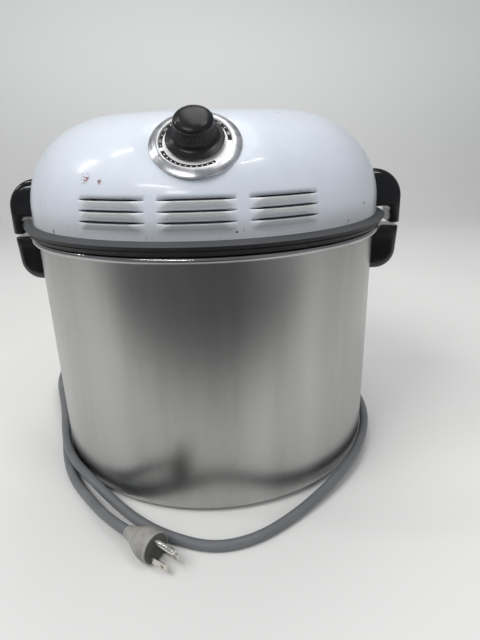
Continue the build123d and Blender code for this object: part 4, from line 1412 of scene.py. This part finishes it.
@dataclass
class Dial(Assembly):
    """Turned dial plate with a printed band of temperatures."""

    rings: tuple[Ring, ...] = mm(
        (5.3, 0.1), (34.3, 0.1), (34.5, 0.4), (34.5, 1.3), (34.1, 1.7), (31.0, 3.2), (28.2, 4.15),
        (27.5, 4.1), (27.0, 3.0), (5.3, 3.0),
    )
    band: Span = (24.0 * MM, 26.9 * MM)
    band_height: float = 3.04 * MM
    band_step: int = 3
    polished: float = 28.0 * MM
    print_gaps: tuple[Span, ...] = ((90.0, 145.0), (249.0, 257.0))
    mark_height: float = 3.07 * MM
    letter: float = 2.5 * MM
    marks: tuple[tuple[str, float], ...] = (
        ("200", 272.0), ("250", 300.0), ("300", 328.0), ("325", 352.0), ("350", 16.0),
        ("375", 44.0), ("400", 74.0),
    )
    ticks: tuple[float, ...] = (
        *(262.0, 286.0, 314.0, 340.0, 4.0, 30.0, 59.0),
        *(150.0 + 9.0 * step for step in range(11)),
    )
    tick: Span = (0.9 * MM, 1.1 * MM)
    steps: int = 144
    seat: DialSeat = field(default_factory=DialSeat)

    def clock(self, angle: float) -> Matrix:
        """Return the turn to a clockwise angle in degrees from the top."""
        return Matrix.Rotation(-math.radians(angle), 4, "Z")

    def build(self) -> None:
        """Turn the plate, then lay the printed band and its marks."""
        edit = Turning.lathe(self.rings, self.steps, closed=True)
        for face in edit.faces:
            if face.calc_center_median().xy.length < self.polished:
                face.material_index = 1
        Turning.move(edit, self.seat.place())
        self.add("dial_ring", edit, Body.HEAD, ("dial_plate",))
        self.build_band()
        self.build_marks()

    def build_band(self) -> None:
        """Spin the printed band, leaving its gaps open."""
        edit = bmesh.new()
        stops = [stop for gap in self.print_gaps for stop in gap]
        runs = [(stops[1], stops[2]), (stops[3], stops[0] + 360.0)]
        for start, stop in runs:
            turn = self.clock(start)
            points = [turn @ Vector((0.0, radius, self.band_height)) for radius in self.band]
            sweep = stop - start
            Turning.spin(edit, points, -math.radians(sweep), round(sweep) // self.band_step)
        self.face_out(edit)
        self.add("dial_band", edit, Body.HEAD, ())

    def build_marks(self) -> None:
        """Lay numbers and ticks on the band."""
        edit = bmesh.new()
        spot = Matrix.Translation((0.0, sum(self.band) / 2, self.mark_height))
        for text, angle in self.marks:
            letters = bpy.data.curves.new("letters", "FONT")
            letters.body = text
            letters.size = self.letter
            letters.align_x = "CENTER"
            letters.align_y = "CENTER"
            Turning.absorb(edit, letters, self.clock(angle) @ spot)
        line = spot @ Matrix.Diagonal((*self.tick, 1.0, 1.0))
        for angle in self.ticks:
            place = self.clock(angle) @ line
            bmesh.ops.create_grid(edit, x_segments=1, y_segments=1, size=0.5, matrix=place)
        self.face_out(edit)
        self.add("dial_marks", edit, Body.HEAD, ())

    def face_out(self, edit: BMesh) -> None:
        """Turn flat faces to the dial's outer side and put them in place.

        Args:
            edit: The faces, laid out about Z.
        """
        for face in edit.faces:
            face.normal_update()
            if face.normal.z < 0:
                face.normal_flip()
        Turning.move(edit, self.seat.place())

    def dress(self, paints: Paintbox) -> None:
        """Give the plate turned aluminium and the print ink.

        Args:
            paints: Where the materials come from.
        """
        turned = Turned("turned_aluminium", self.seat.origin, self.seat.axis())
        black = ((0.012, 0.012, 0.013), (0.022, 0.022, 0.022))
        ink = Moulded("dial_ink", *black, (0.5, 0.65), specular=0.25)
        white = Moulded("dial_white", (0.72, 0.72, 0.70), (0.55, 0.55, 0.52), (0.4, 0.5))
        bright = ((0.93, 0.93, 0.92), (0.82, 0.82, 0.81))
        pale = Metal("dial_face", *bright, (0.40, 0.52), metallic=0.35)
        self.paint("dial_ring", Slot.DIAL, paints.mix(turned), paints.mix(pale))
        self.paint("dial_band", Slot.DIAL, paints.mix(ink))
        self.paint("dial_marks", Slot.DIAL, paints.mix(white))


@dataclass
class Knob(Assembly):
    """Black knob with a flared skirt and a fluted cap."""

    rings: tuple[Ring, ...] = mm(
        (3.1, 4.7), (21.4, 5.2), (21.9, 5.6), (22.0, 6.2), (21.8, 6.8), (21.0, 7.1), (19.4, 7.5),
        (17.8, 8.0), (16.5, 8.8), (15.7, 9.8), (15.3, 10.9), (15.2, 11.6), (15.1, 14.0),
        (14.95, 17.0), (14.85, 19.8), (14.8, 20.6), (14.7, 21.6), (14.4, 22.6), (13.8, 23.5),
        (12.7, 24.4), (11.1, 25.2), (8.8, 25.9), (6.0, 26.35), (3.0, 26.56), (0.0, 26.6),
    )
    bore: tuple[Ring, ...] = mm((0.0, 20.1), (3.1, 20.1))
    flutes: int = 40
    flute_depth: float = 0.55 * MM
    flute_span: Span = (11.2 * MM, 20.2 * MM)
    fluted_beyond: float = 10.0 * MM
    steps: int = 320
    seat: DialSeat = field(default_factory=DialSeat)

    def build(self) -> None:
        """Turn the knob and press the flutes into its cap."""
        edit = Turning.lathe((*self.bore, *self.rings), self.steps)
        low, high = self.flute_span
        for vert in edit.verts:
            if low < vert.co.z < high and vert.co.xy.length > self.fluted_beyond:
                turn = math.atan2(vert.co.y, vert.co.x)
                dip = self.flute_depth * (0.5 - 0.5 * math.cos(self.flutes * turn))
                vert.co -= (vert.co.xy.normalized() * dip).to_3d()
        Turning.move(edit, self.seat.place())
        self.add("knob_moulding", edit, Body.KNOB, ("control_knob",), crease=50.0)

    def dress(self, paints: Paintbox) -> None:
        """Give the knob black phenolic.

        Args:
            paints: Where the materials come from.
        """
        black = ((0.005, 0.005, 0.0055), (0.009, 0.009, 0.009))
        satin = Moulded("knob_phenolic", *black, (0.24, 0.32), 1100.0, 70.0, 0.06, 0.5)
        self.paint("knob_moulding", Slot.PHENOLIC, paints.mix(satin))


@dataclass
class Handles(Assembly):
    """Four moulded handles with rounded edges, two on the head and two on the kettle."""

    root_x: float = 140.0 * MM
    tip_x: float = 195.0 * MM
    half_root: float = 20.0 * MM
    half_tip: float = 16.0 * MM
    rounding: float = 7.5 * MM
    small: float = 1.5 * MM
    cuts: tuple[float, ...] = (-6.0 * MM, 0.0, 6.0 * MM)
    crowns: tuple[Point, ...] = (
        (250.0 * MM, 282.0 * MM, 7.0 * MM),
        (212.0 * MM, 182.0 * MM, 1.5 * MM),
    )
    crown_steps: int = 8
    fit: float = 0.05 * MM
    near: float = 0.3 * MM
    head_low: float = 229.0 * MM
    head_roof: float = 246.0 * MM
    head_top: float = 282.0 * MM
    lip_x: float = 184.5 * MM
    shoulder: float = 27.0 * MM
    notch: float = 5.0 * MM
    kettle_low: float = 182.0 * MM
    kettle_top: float = 226.0 * MM
    kettle_top_x: float = 194.5 * MM
    heel_centre: Ring = (172.8 * MM, 202.0 * MM)
    heel_radius: float = 20.0 * MM
    shell_steps: int = 6
    segments: int = 8
    notch_steps: int = 6
    round_steps: int = 16
    sharp: float = 1.0
    cover: HeadCover = field(default_factory=HeadCover)
    kettle: Kettle = field(default_factory=Kettle)

    def head_outline(self) -> list[Ring]:
        """Return the head handle's side view, from the roof of its notch round to the cover.

        Returns:
            Radius and height of each point.
        """
        inner = (self.lip_x - self.notch, self.head_roof - self.notch)
        outer = (self.tip_x - self.shoulder, self.head_top - self.shoulder)
        under = arc(inner, self.notch, 90.0, 0.0, self.notch_steps)
        lip = [(self.lip_x, self.head_low), (self.tip_x, self.head_low)]
        over = arc(outer, self.shoulder, 0.0, 90.0, self.round_steps)
        back = self.shell_side(self.cover.wall_radius, self.head_top, self.head_roof)
        return [*under, *lip, *over, *back]

    def kettle_outline(self) -> list[Ring]:
        """Return the kettle handle's side view, from its heel round to the wall.

        Returns:
            Radius and height of each point.
        """
        under = arc(self.heel_centre, self.heel_radius, -90.0, -4.0, self.round_steps)
        tip = (self.kettle_top_x, self.kettle_top)
        return [*under, tip, *self.shell_side(self.wall_radius, self.kettle_top, self.kettle_low)]

    def shell_side(self, shell: Shell, top: float, low: float) -> list[Ring]:
        """Return the points down the shell.

        Args:
            shell: The radius of the shell at a height.
            top: Height of the first point.
            low: Height of the last point.

        Returns:
            Radius and height of each point.
        """
        shares = [step / self.shell_steps for step in range(self.shell_steps + 1)]
        heights = [between(top, low, share) for share in shares]
        return [(shell(height), height) for height in heights]

    def wall_radius(self, height: float) -> float:
        """Return the kettle's outer radius at a height on its wall.

        Args:
            height: The height.

        Returns:
            The radius there.
        """
        low = self.kettle.corner
        high = self.kettle.bead_height - self.kettle.bead_radius
        share = (height - low) / (high - low)
        return between(self.kettle.foot_radius, self.kettle.radius, share)

    def half_width(self, reach: float) -> float:
        """Return half the handle's width at a distance from the axis."""
        share = (reach - self.root_x) / (self.tip_x - self.root_x)
        return between(self.half_root, self.half_tip, share)

    def faces_gap(self, edge: BMEdge) -> bool:
        """Return whether an edge borders the gap between the two handles of a side.

        Args:
            edge: An edge of either handle.

        Returns:
            Whether it borders the gap.
        """
        inner = max(vert.co.x for vert in edge.verts) < self.lip_x + self.near
        low, high = sorted(vert.co.z for vert in edge.verts)
        roof = self.head_roof if inner else self.head_low
        return low > self.kettle_top - self.near and high < roof + self.near

    def crown(self, height: float) -> float:
        """Return how far a handle's sides lean in at a height, towards its far end.

        Args:
            height: The height.

        Returns:
            How far each side leans in there.
        """
        leans = []
        for start, end, depth in self.crowns:
            leans.append(depth * max(0.0, (height - start) / (end - start)) ** 2)
        return max(leans)

    @staticmethod
    def touching(edit: BMesh, shell: Shell, gap: float) -> set[BMVert]:
        """Return the points that lie within a gap of the shell."""
        return {vert for vert in edit.verts if abs(vert.co.x - shell(vert.co.z)) < gap}

    @staticmethod
    def split(edit: BMesh, point: Point, square: Point) -> None:
        """Cut every face along the plane through a point and square to a direction."""
        geom = edit.verts[:] + edit.edges[:] + edit.faces[:]
        bmesh.ops.bisect_plane(edit, geom=geom, plane_co=point, plane_no=square)

    def mould(self, edit: BMesh, outline: Sequence[Ring], shell: Shell) -> None:
        """Extrude a side view across the handle's width, fit it to its shell and round its edges.

        Args:
            edit: The bmesh to add to.
            outline: The handle's side view.
            shell: The radius of the shell behind it at a height.
        """
        side = edit.faces.new([edit.verts.new((reach, -1.0, height)) for reach, height in outline])
        grown = bmesh.ops.extrude_face_region(edit, geom=[side])["geom"]
        far = [item for item in grown if isinstance(item, BMVert)]
        bmesh.ops.translate(edit, verts=far, vec=(0.0, 2.0, 0.0))
        for vert in edit.verts:
            vert.co.y *= self.half_width(vert.co.x)
        behind = self.touching(edit, shell, self.fit)
        rims = [edge for edge in edit.edges if edge.verts[0].co.y * edge.verts[1].co.y > 0]
        free = [edge for edge in rims if not behind.issuperset(edge.verts)]
        outer = [edge for edge in free if not self.faces_gap(edge)]
        Turning.soften(edit, outer, self.rounding, self.segments)
        for cut in self.cuts:
            self.split(edit, (0.0, cut, 0.0), (0.0, 1.0, 0.0))
        for level in range(self.crown_steps):
            for start, end, _ in self.crowns:
                height = between(start, end, level / self.crown_steps)
                self.split(edit, (0.0, 0.0, height), UP)
        for vert in edit.verts:
            vert.co.y *= 1.0 - self.crown(vert.co.z) / self.half_tip
        behind = self.touching(edit, shell, self.near)
        for vert in behind:
            vert.co.x = math.sqrt(shell(vert.co.z) ** 2 - vert.co.y**2) + self.fit
        sharp = [edge for edge in edit.edges if edge.calc_face_angle(0.0) > self.sharp]
        free = [edge for edge in sharp if not behind.issuperset(edge.verts)]
        Turning.soften(edit, free, self.small)

    def build(self) -> None:
        """Mould each handle, the left ones mirrored."""
        kinds = (
            ("head_handle", Body.HEAD, self.head_outline(), self.cover.wall_radius),
            ("kettle_handle", Body.KETTLE, self.kettle_outline(), self.wall_radius),
        )
        for kind, body, outline, shell in kinds:
            for side, turn in (("right", 1.0), ("left", -1.0)):
                edit = bmesh.new()
                self.mould(edit, outline, shell)
                Turning.move(edit, Matrix.Diagonal((turn, 1.0, 1.0, 1.0)))
                bmesh.ops.recalc_face_normals(edit, faces=edit.faces[:])
                node = f"{kind}_{side}"
                self.add(f"{node}_moulding", edit, body, (node,), crease=40.0)

    def dress(self, paints: Paintbox) -> None:
        """Give the handles black phenolic."""
        for name in self.pieces:
            self.paint(name, Slot.PHENOLIC, paints.mix(PHENOLIC))


@dataclass
class StrainRelief(Assembly):
    """Tapered rubber boot where the cord leaves the head."""

    inner: float = 158.0 * MM
    flange: float = 168.2 * MM
    flange_depth: float = 3.0 * MM
    flange_radius: float = 11.5 * MM
    plug_radius: float = 9.0 * MM
    root_radius: float = 8.6 * MM
    tip_radius: float = 6.3 * MM
    tip: float = 200.0 * MM
    bore: float = 4.55 * MM
    height: float = 262.0 * MM
    edge: float = 1.0 * MM
    ribs: int = 6
    rib_depth: float = 0.8 * MM
    rib_start: float = 2.0 * MM
    rib_margin: float = 3.0 * MM
    rib_shape: tuple[Ring, ...] = ((0.0, 0.0), (0.0, 0.5), (1.0, 0.62), (1.0, 0.88))
    steps: int = 64

    def rings(self) -> list[Ring]:
        """Return the section, from the bore's inner end round the outside to its mouth.

        Returns:
            Radius and height of each point.
        """
        boot = self.flange + self.flange_depth
        edge = self.edge
        rim = self.flange_radius - edge
        plug = [(self.plug_radius, self.inner), (self.plug_radius, self.flange)]
        section = [(self.bore, self.inner), *plug]
        section += arc((rim, self.flange + edge), edge, -90.0, 0.0, 4)
        section += arc((rim, boot - edge), edge, 0.0, 90.0, 4)
        pitch = (self.tip - boot - self.rib_margin) / self.ribs
        for rib in range(self.ribs):
            start = boot + self.rib_start + rib * pitch
            radius = between(self.root_radius, self.tip_radius, rib / self.ribs)
            for drop, along in self.rib_shape:
                section.append((radius - self.rib_depth * drop, start + along * pitch))
        section += arc((self.tip_radius - edge, self.tip - edge), edge, 0.0, 90.0, 4)
        return [*section, (self.bore, self.tip)]

    def build(self) -> None:
        """Turn the boot and lay it along +Y."""
        edit = Turning.lathe(self.rings(), self.steps, closed=True)
        lay = Matrix.Translation((0.0, 0.0, self.height)) @ Matrix.Rotation(-math.pi / 2, 4, "X")
        Turning.move(edit, lay)
        self.add("relief_boot", edit, Body.HEAD, ("strain_relief",))

    def dress(self, paints: Paintbox) -> None:
        """Give the boot rubber."""
        rubber = Moulded("relief_rubber", (0.02, 0.02, 0.021), (0.05, 0.05, 0.05), (0.5, 0.65))
        self.paint("relief_boot", Slot.RELIEF, paints.mix(rubber))


@dataclass
class Basket(Assembly):
    """Wire basket on short feet, with its bail."""

    radius: float = 116.5 * MM
    top: float = 106.0 * MM
    base_radius: float = 109.5 * MM
    base: float = 13.5 * MM
    rim_wire: float = 2.0 * MM
    wire: float = 1.5 * MM
    mesh_wire: float = 0.6 * MM
    ribs: int = 8
    mesh_ribs: int = 96
    mesh_hoops: int = 12
    floor_rings: int = 9
    foot: float = 3.4 * MM
    feet: int = 4
    hoop_steps: int = 96
    rib_out: float = 0.4 * MM
    rib_bend: float = 4.0 * MM
    rib_end: float = 20.0 * MM
    mesh_end: float = 6.0 * MM
    ear_x: float = 113.0 * MM
    ear_thick: float = 2.5 * MM
    ear_width: float = 14.0 * MM
    ear_low: float = 104.0 * MM
    ear_top: float = 118.0 * MM
    ear_edge: float = 0.5 * MM
    pivot: float = 110.3 * MM
    leg_x: float = 109.0 * MM
    pin_x: float = 118.4 * MM
    bow_y: float = 7.4 * MM
    bail_wire: float = 1.9 * MM
    bail_bend: float = 2.0 * MM

    def hoop(self, edit: BMesh, radius: float, height: float, wire: float) -> None:
        """Add a level hoop.

        Args:
            edit: The bmesh to add to.
            radius: The hoop's radius.
            height: Its height.
            wire: The wire's radius.
        """
        turns = [math.tau * step / self.hoop_steps for step in range(self.hoop_steps)]
        points = [polar(turn, radius, height) for turn in turns]
        Turning.strand(edit, points, wire, closed=True, sides=2)

    def side_radius(self, height: float) -> float:
        """Return the basket's radius at a height."""
        share = (height - self.base) / (self.top - self.base)
        return between(self.base_radius, self.radius, share)

    @staticmethod
    def spread(
        edit: BMesh, angles: Iterable[float], section: Sequence[Ring], wire: float, sides: int
    ) -> None:
        """Repeat a bent wire round the axis.

        Args:
            edit: The bmesh to add to.
            angles: Where the wires stand, in radians.
            section: Radius and height of each point of a wire.
            wire: The wire's radius.
            sides: Quality of its round section.
        """
        for angle in angles:
            points = [polar(angle, radius, height) for radius, height in section]
            Turning.strand(edit, points, wire, sides=sides)

    def build(self) -> None:
        """Weld the frame, the mesh, the feet and the ears, then bend the bail."""
        edit = bmesh.new()
        self.hoop(edit, self.radius, self.top, self.rim_wire)
        self.hoop(edit, self.base_radius, self.base, self.wire)
        rib = (
            (self.radius, self.top),
            (self.base_radius + self.rib_out, self.base + self.rib_bend),
            (self.base_radius - self.rib_bend, self.base),
            (self.rib_end, self.base),
        )
        foot = ((self.base_radius, self.base), (self.base_radius, self.foot))
        for count, section in ((self.ribs, rib), (self.feet, foot)):
            angles = [math.tau * (step + 0.5) / count for step in range(count)]
            self.spread(edit, angles, section, self.wire, 2)
        self.add_ears(edit)
        self.add("basket_frame", edit, Body.BASKET, ("basket",), crease=50.0)
        self.build_mesh()
        self.build_bail()

    def add_ears(self, edit: BMesh) -> None:
        """Add the two plates that the bail turns in.

        Args:
            edit: The bmesh to add to.
        """
        for side in (-1, 1):
            height = (self.ear_low + self.ear_top) / 2
            middle = Vector((side * (self.ear_x + self.ear_thick / 2), 0.0, height))
            size = (self.ear_thick, self.ear_width, self.ear_top - self.ear_low)
            place = Matrix.Translation(middle) @ Matrix.Diagonal((*size, 1.0))
            made = bmesh.ops.create_cube(edit, size=1.0, matrix=place)
            edges = {edge for vert in made["verts"] for edge in vert.link_edges}
            Turning.soften(edit, list(edges), self.ear_edge, 2)

    def build_mesh(self) -> None:
        """Weave the fine wire of the side and the floor."""
        edit = bmesh.new()
        angles = [math.tau * rib / self.mesh_ribs for rib in range(self.mesh_ribs)]
        side = [(self.side_radius(height), height) for height in (self.top, self.base)]
        section = [*side, (self.mesh_end, self.base)]
        self.spread(edit, angles, section, self.mesh_wire, 0)
        for row in range(1, self.mesh_hoops):
            height = self.base + (self.top - self.base) * row / self.mesh_hoops
            self.hoop(edit, self.side_radius(height), height, self.mesh_wire)
        for ring in range(1, self.floor_rings):
            self.hoop(edit, self.base_radius * ring / self.floor_rings, self.base, self.mesh_wire)
        self.add("basket_mesh", edit, Body.BASKET, (), crease=80.0)

    def build_bail(self) -> None:
        """Bend the bail's bow and its two pins from one wire."""
        edit = bmesh.new()
        bow = arc((0.0, self.bow_y), self.leg_x, 0.0, 180.0, 48)
        leg, turn = self.leg_x, self.bail_bend
        bend = [(leg + turn, 0.0), (leg + 0.4 * turn, 0.4 * turn), (leg, turn)]
        right = [(self.pin_x, 0.0), *bend]
        left = [(-x, y) for x, y in reversed(right)]
        points = [Vector((x, y, self.pivot)) for x, y in (*right, *bow, *left)]
        Turning.strand(edit, points, self.bail_wire, sides=3)
        self.add("bail_wire", edit, Body.BAIL, ("bail_handle",), crease=60.0)

    def dress(self, paints: Paintbox) -> None:
        """Give the wires plated steel.

        Args:
            paints: Where the materials come from.
        """
        wire = Metal("basket_wire", (0.60, 0.60, 0.60), (0.36, 0.35, 0.33), (0.20, 0.38))
        for name in ("basket_frame", "basket_mesh", "bail_wire"):
            self.paint(name, Slot.BASKET, paints.mix(wire))


@dataclass
class Heater(Assembly):
    """Sheathed heating ring and the sensing bulb that hang in the kettle."""

    ring_radius: float = 142.0 * MM
    ring_height: float = 40.0 * MM
    tube: float = 3.9 * MM
    ring_steps: int = 120
    bend: float = 14.0 * MM
    bend_shares: tuple[float, ...] = (0.25, 0.5, 0.75)
    lug: float = 2.0 * MM
    leg_top: float = 250.0 * MM
    bulb_at: Ring = (-62.0 * MM, -127.0 * MM)
    bulb_radius: float = 4.0 * MM
    bulb_low: float = 76.0 * MM
    bulb_top: float = 158.0 * MM
    stem_radius: float = 2.0 * MM
    bulb_steps: int = 32

    def ring_point(self, angle: float, height: float) -> Vector:
        """Return a point above or on the ring, at an angle in degrees from the back."""
        return polar(math.radians(angle + 90.0), self.ring_radius, height)

    def build(self) -> None:
        """Bend the heater and turn the bulb."""
        low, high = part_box("element_terminals")
        leg = Vector((high.x - self.lug, (low.y + high.y) / 2, 0.0))
        start = math.degrees(math.atan2(leg.x, leg.y))
        first = start + math.degrees(self.bend / self.ring_radius)
        ends = (self.leg_top, self.ring_height + self.bend)
        path = [Vector((-leg.x, leg.y, height)) for height in ends]
        for share in self.bend_shares:
            turn = math.radians(90.0 * share)
            along = start + (first - start) * (1 - math.cos(turn))
            drop = self.ring_height + self.bend * (1 - math.sin(turn))
            path.append(self.ring_point(along, drop))
        mirrored = [Vector((-point.x, point.y, point.z)) for point in reversed(path)]
        sweep = 360.0 - 2 * first
        turns = [first + sweep * step / self.ring_steps for step in range(self.ring_steps + 1)]
        path += [self.ring_point(turn, self.ring_height) for turn in turns]
        edit = bmesh.new()
        Turning.strand(edit, path + mirrored, self.tube, sides=4)
        self.add("heater_ring", edit, Body.HEAD, ("heating_element",), crease=60.0)
        section = [(0.0, self.bulb_low)]
        section += arc((0.0, self.bulb_low + self.bulb_radius), self.bulb_radius, -60.0, 0.0, 6)
        section += arc((0.0, self.bulb_top - self.bulb_radius), self.bulb_radius, 0.0, 60.0, 6)
        section += [(self.stem_radius, self.bulb_top), (0.0, self.bulb_top)]
        edit = Turning.lathe(section, self.bulb_steps)
        Turning.move(edit, Matrix.Translation((*self.bulb_at, 0.0)))
        self.add("bulb_shell", edit, Body.HEAD, ("sensing_bulb",), crease=50.0)

    def dress(self, paints: Paintbox) -> None:
        """Give the heater its sheath and the bulb copper."""
        self.paint("heater_ring", Slot.SHEATH, paints.mix(SHEATH))
        self.paint("bulb_shell", Slot.COPPER, paints.mix(COPPER))


@dataclass
class Fittings(Assembly):
    """Pieces that keep their CAD shape: plate, brackets, screws, thermostat and wiring."""

    def build(self) -> None:
        """Take each CAD node as it is."""
        shown = [name for name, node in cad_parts.items() if not node.hide_render]
        self.pieces = {name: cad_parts[name] for name in shown}

    def dress(self, paints: Paintbox) -> None:
        """Give each node its finish from the list of fittings.

        Args:
            paints: Where the materials come from.
        """
        for name, piece in self.pieces.items():
            piece.data.materials.clear()
            piece.data.materials.append(paints.mix(FITTING_FINISH[name]))


ZINC = Metal("zinc_steel", (0.62, 0.62, 0.61), (0.45, 0.44, 0.42), (0.25, 0.42))
BLACK = ((0.004, 0.004, 0.0045), (0.008, 0.008, 0.008))
PHENOLIC = Moulded("phenolic", *BLACK, (0.08, 0.16), 1100.0, 70.0, 0.04, 0.5)
COPPER = Metal("sensor_copper", (0.72, 0.38, 0.24), (0.50, 0.26, 0.17), (0.25, 0.42))
BRASS = Metal("terminal_brass", (0.74, 0.56, 0.28), (0.55, 0.42, 0.22), (0.22, 0.40))
SHEATH = Metal("element_sheath", (0.34, 0.32, 0.30), (0.20, 0.185, 0.17), (0.35, 0.52))
STEEL = ((0.56, 0.56, 0.57), (0.43, 0.43, 0.43))
PLATE = Metal("plate_steel", *STEEL, (0.28, 0.42), 900.0, (1.0, 0.03, 1.0))
CERAMIC = Moulded("terminal_ceramic", (0.66, 0.62, 0.54), (0.56, 0.52, 0.45), (0.45, 0.6))
SLEEVE = Moulded("wire_sleeve", (0.48, 0.45, 0.38), (0.38, 0.36, 0.30), (0.55, 0.7))
STAT = Metal("thermostat_case", (0.46, 0.45, 0.42), (0.34, 0.33, 0.31), (0.35, 0.5))
GREY = ((0.165, 0.178, 0.192), (0.205, 0.215, 0.225))
INLET = Moulded("inlet_vinyl", *GREY, (0.36, 0.50), 1600.0, 60.0)

FITTINGS: dict[Finish, tuple[str, ...]] = {
    BRASS: ("bulb_gland", "element_nuts"),
    COPPER: ("bulb_stem", "capillary_tube"),
    INLET: ("cord_inlet",),
    ZINC: (
        *("cover_brackets", "element_terminals", "head_handle_screws", "kettle_handle_screws"),
        *("splash_plate_screws", "thermostat_nut", "thermostat_shaft"),
    ),
    SLEEVE: ("lead_wires",),
    PLATE: ("splash_plate",),
    CERAMIC: ("terminal_block", "terminal_insulators"),
    STAT: ("thermostat_body",),
}
FITTING_FINISH = {name: finish for finish, names in FITTINGS.items() for name in names}


def build_all(assemblies: Iterable[Assembly], paints: Paintbox) -> None:
    """Build, dress and report sub-assemblies in order.

    Args:
        assemblies: The sub-assemblies.
        paints: Where the materials come from.
    """
    for assembly in assemblies:
        assembly.build()
        assembly.dress(paints)
        assembly.report()


def main() -> None:
    """Set up the view, then build every sub-assembly."""
    logging.basicConfig(level=logging.INFO, format="%(name)s: %(message)s")
    paints = Paintbox()
    Viewpoint().build()
    Studio().build(paints)
    cord = PowerCord()
    plug = Plug()
    shells = (Kettle(), HeadCover(), RimGasket(), Dial(), Knob(), Handles())
    inside = (StrainRelief(), Basket(), Heater(), Fittings())
    build_all((cord, plug, *shells, *inside), paints)
    cord.declare(list(plug.pieces.values()))


if __name__ == "__main__":
    main()
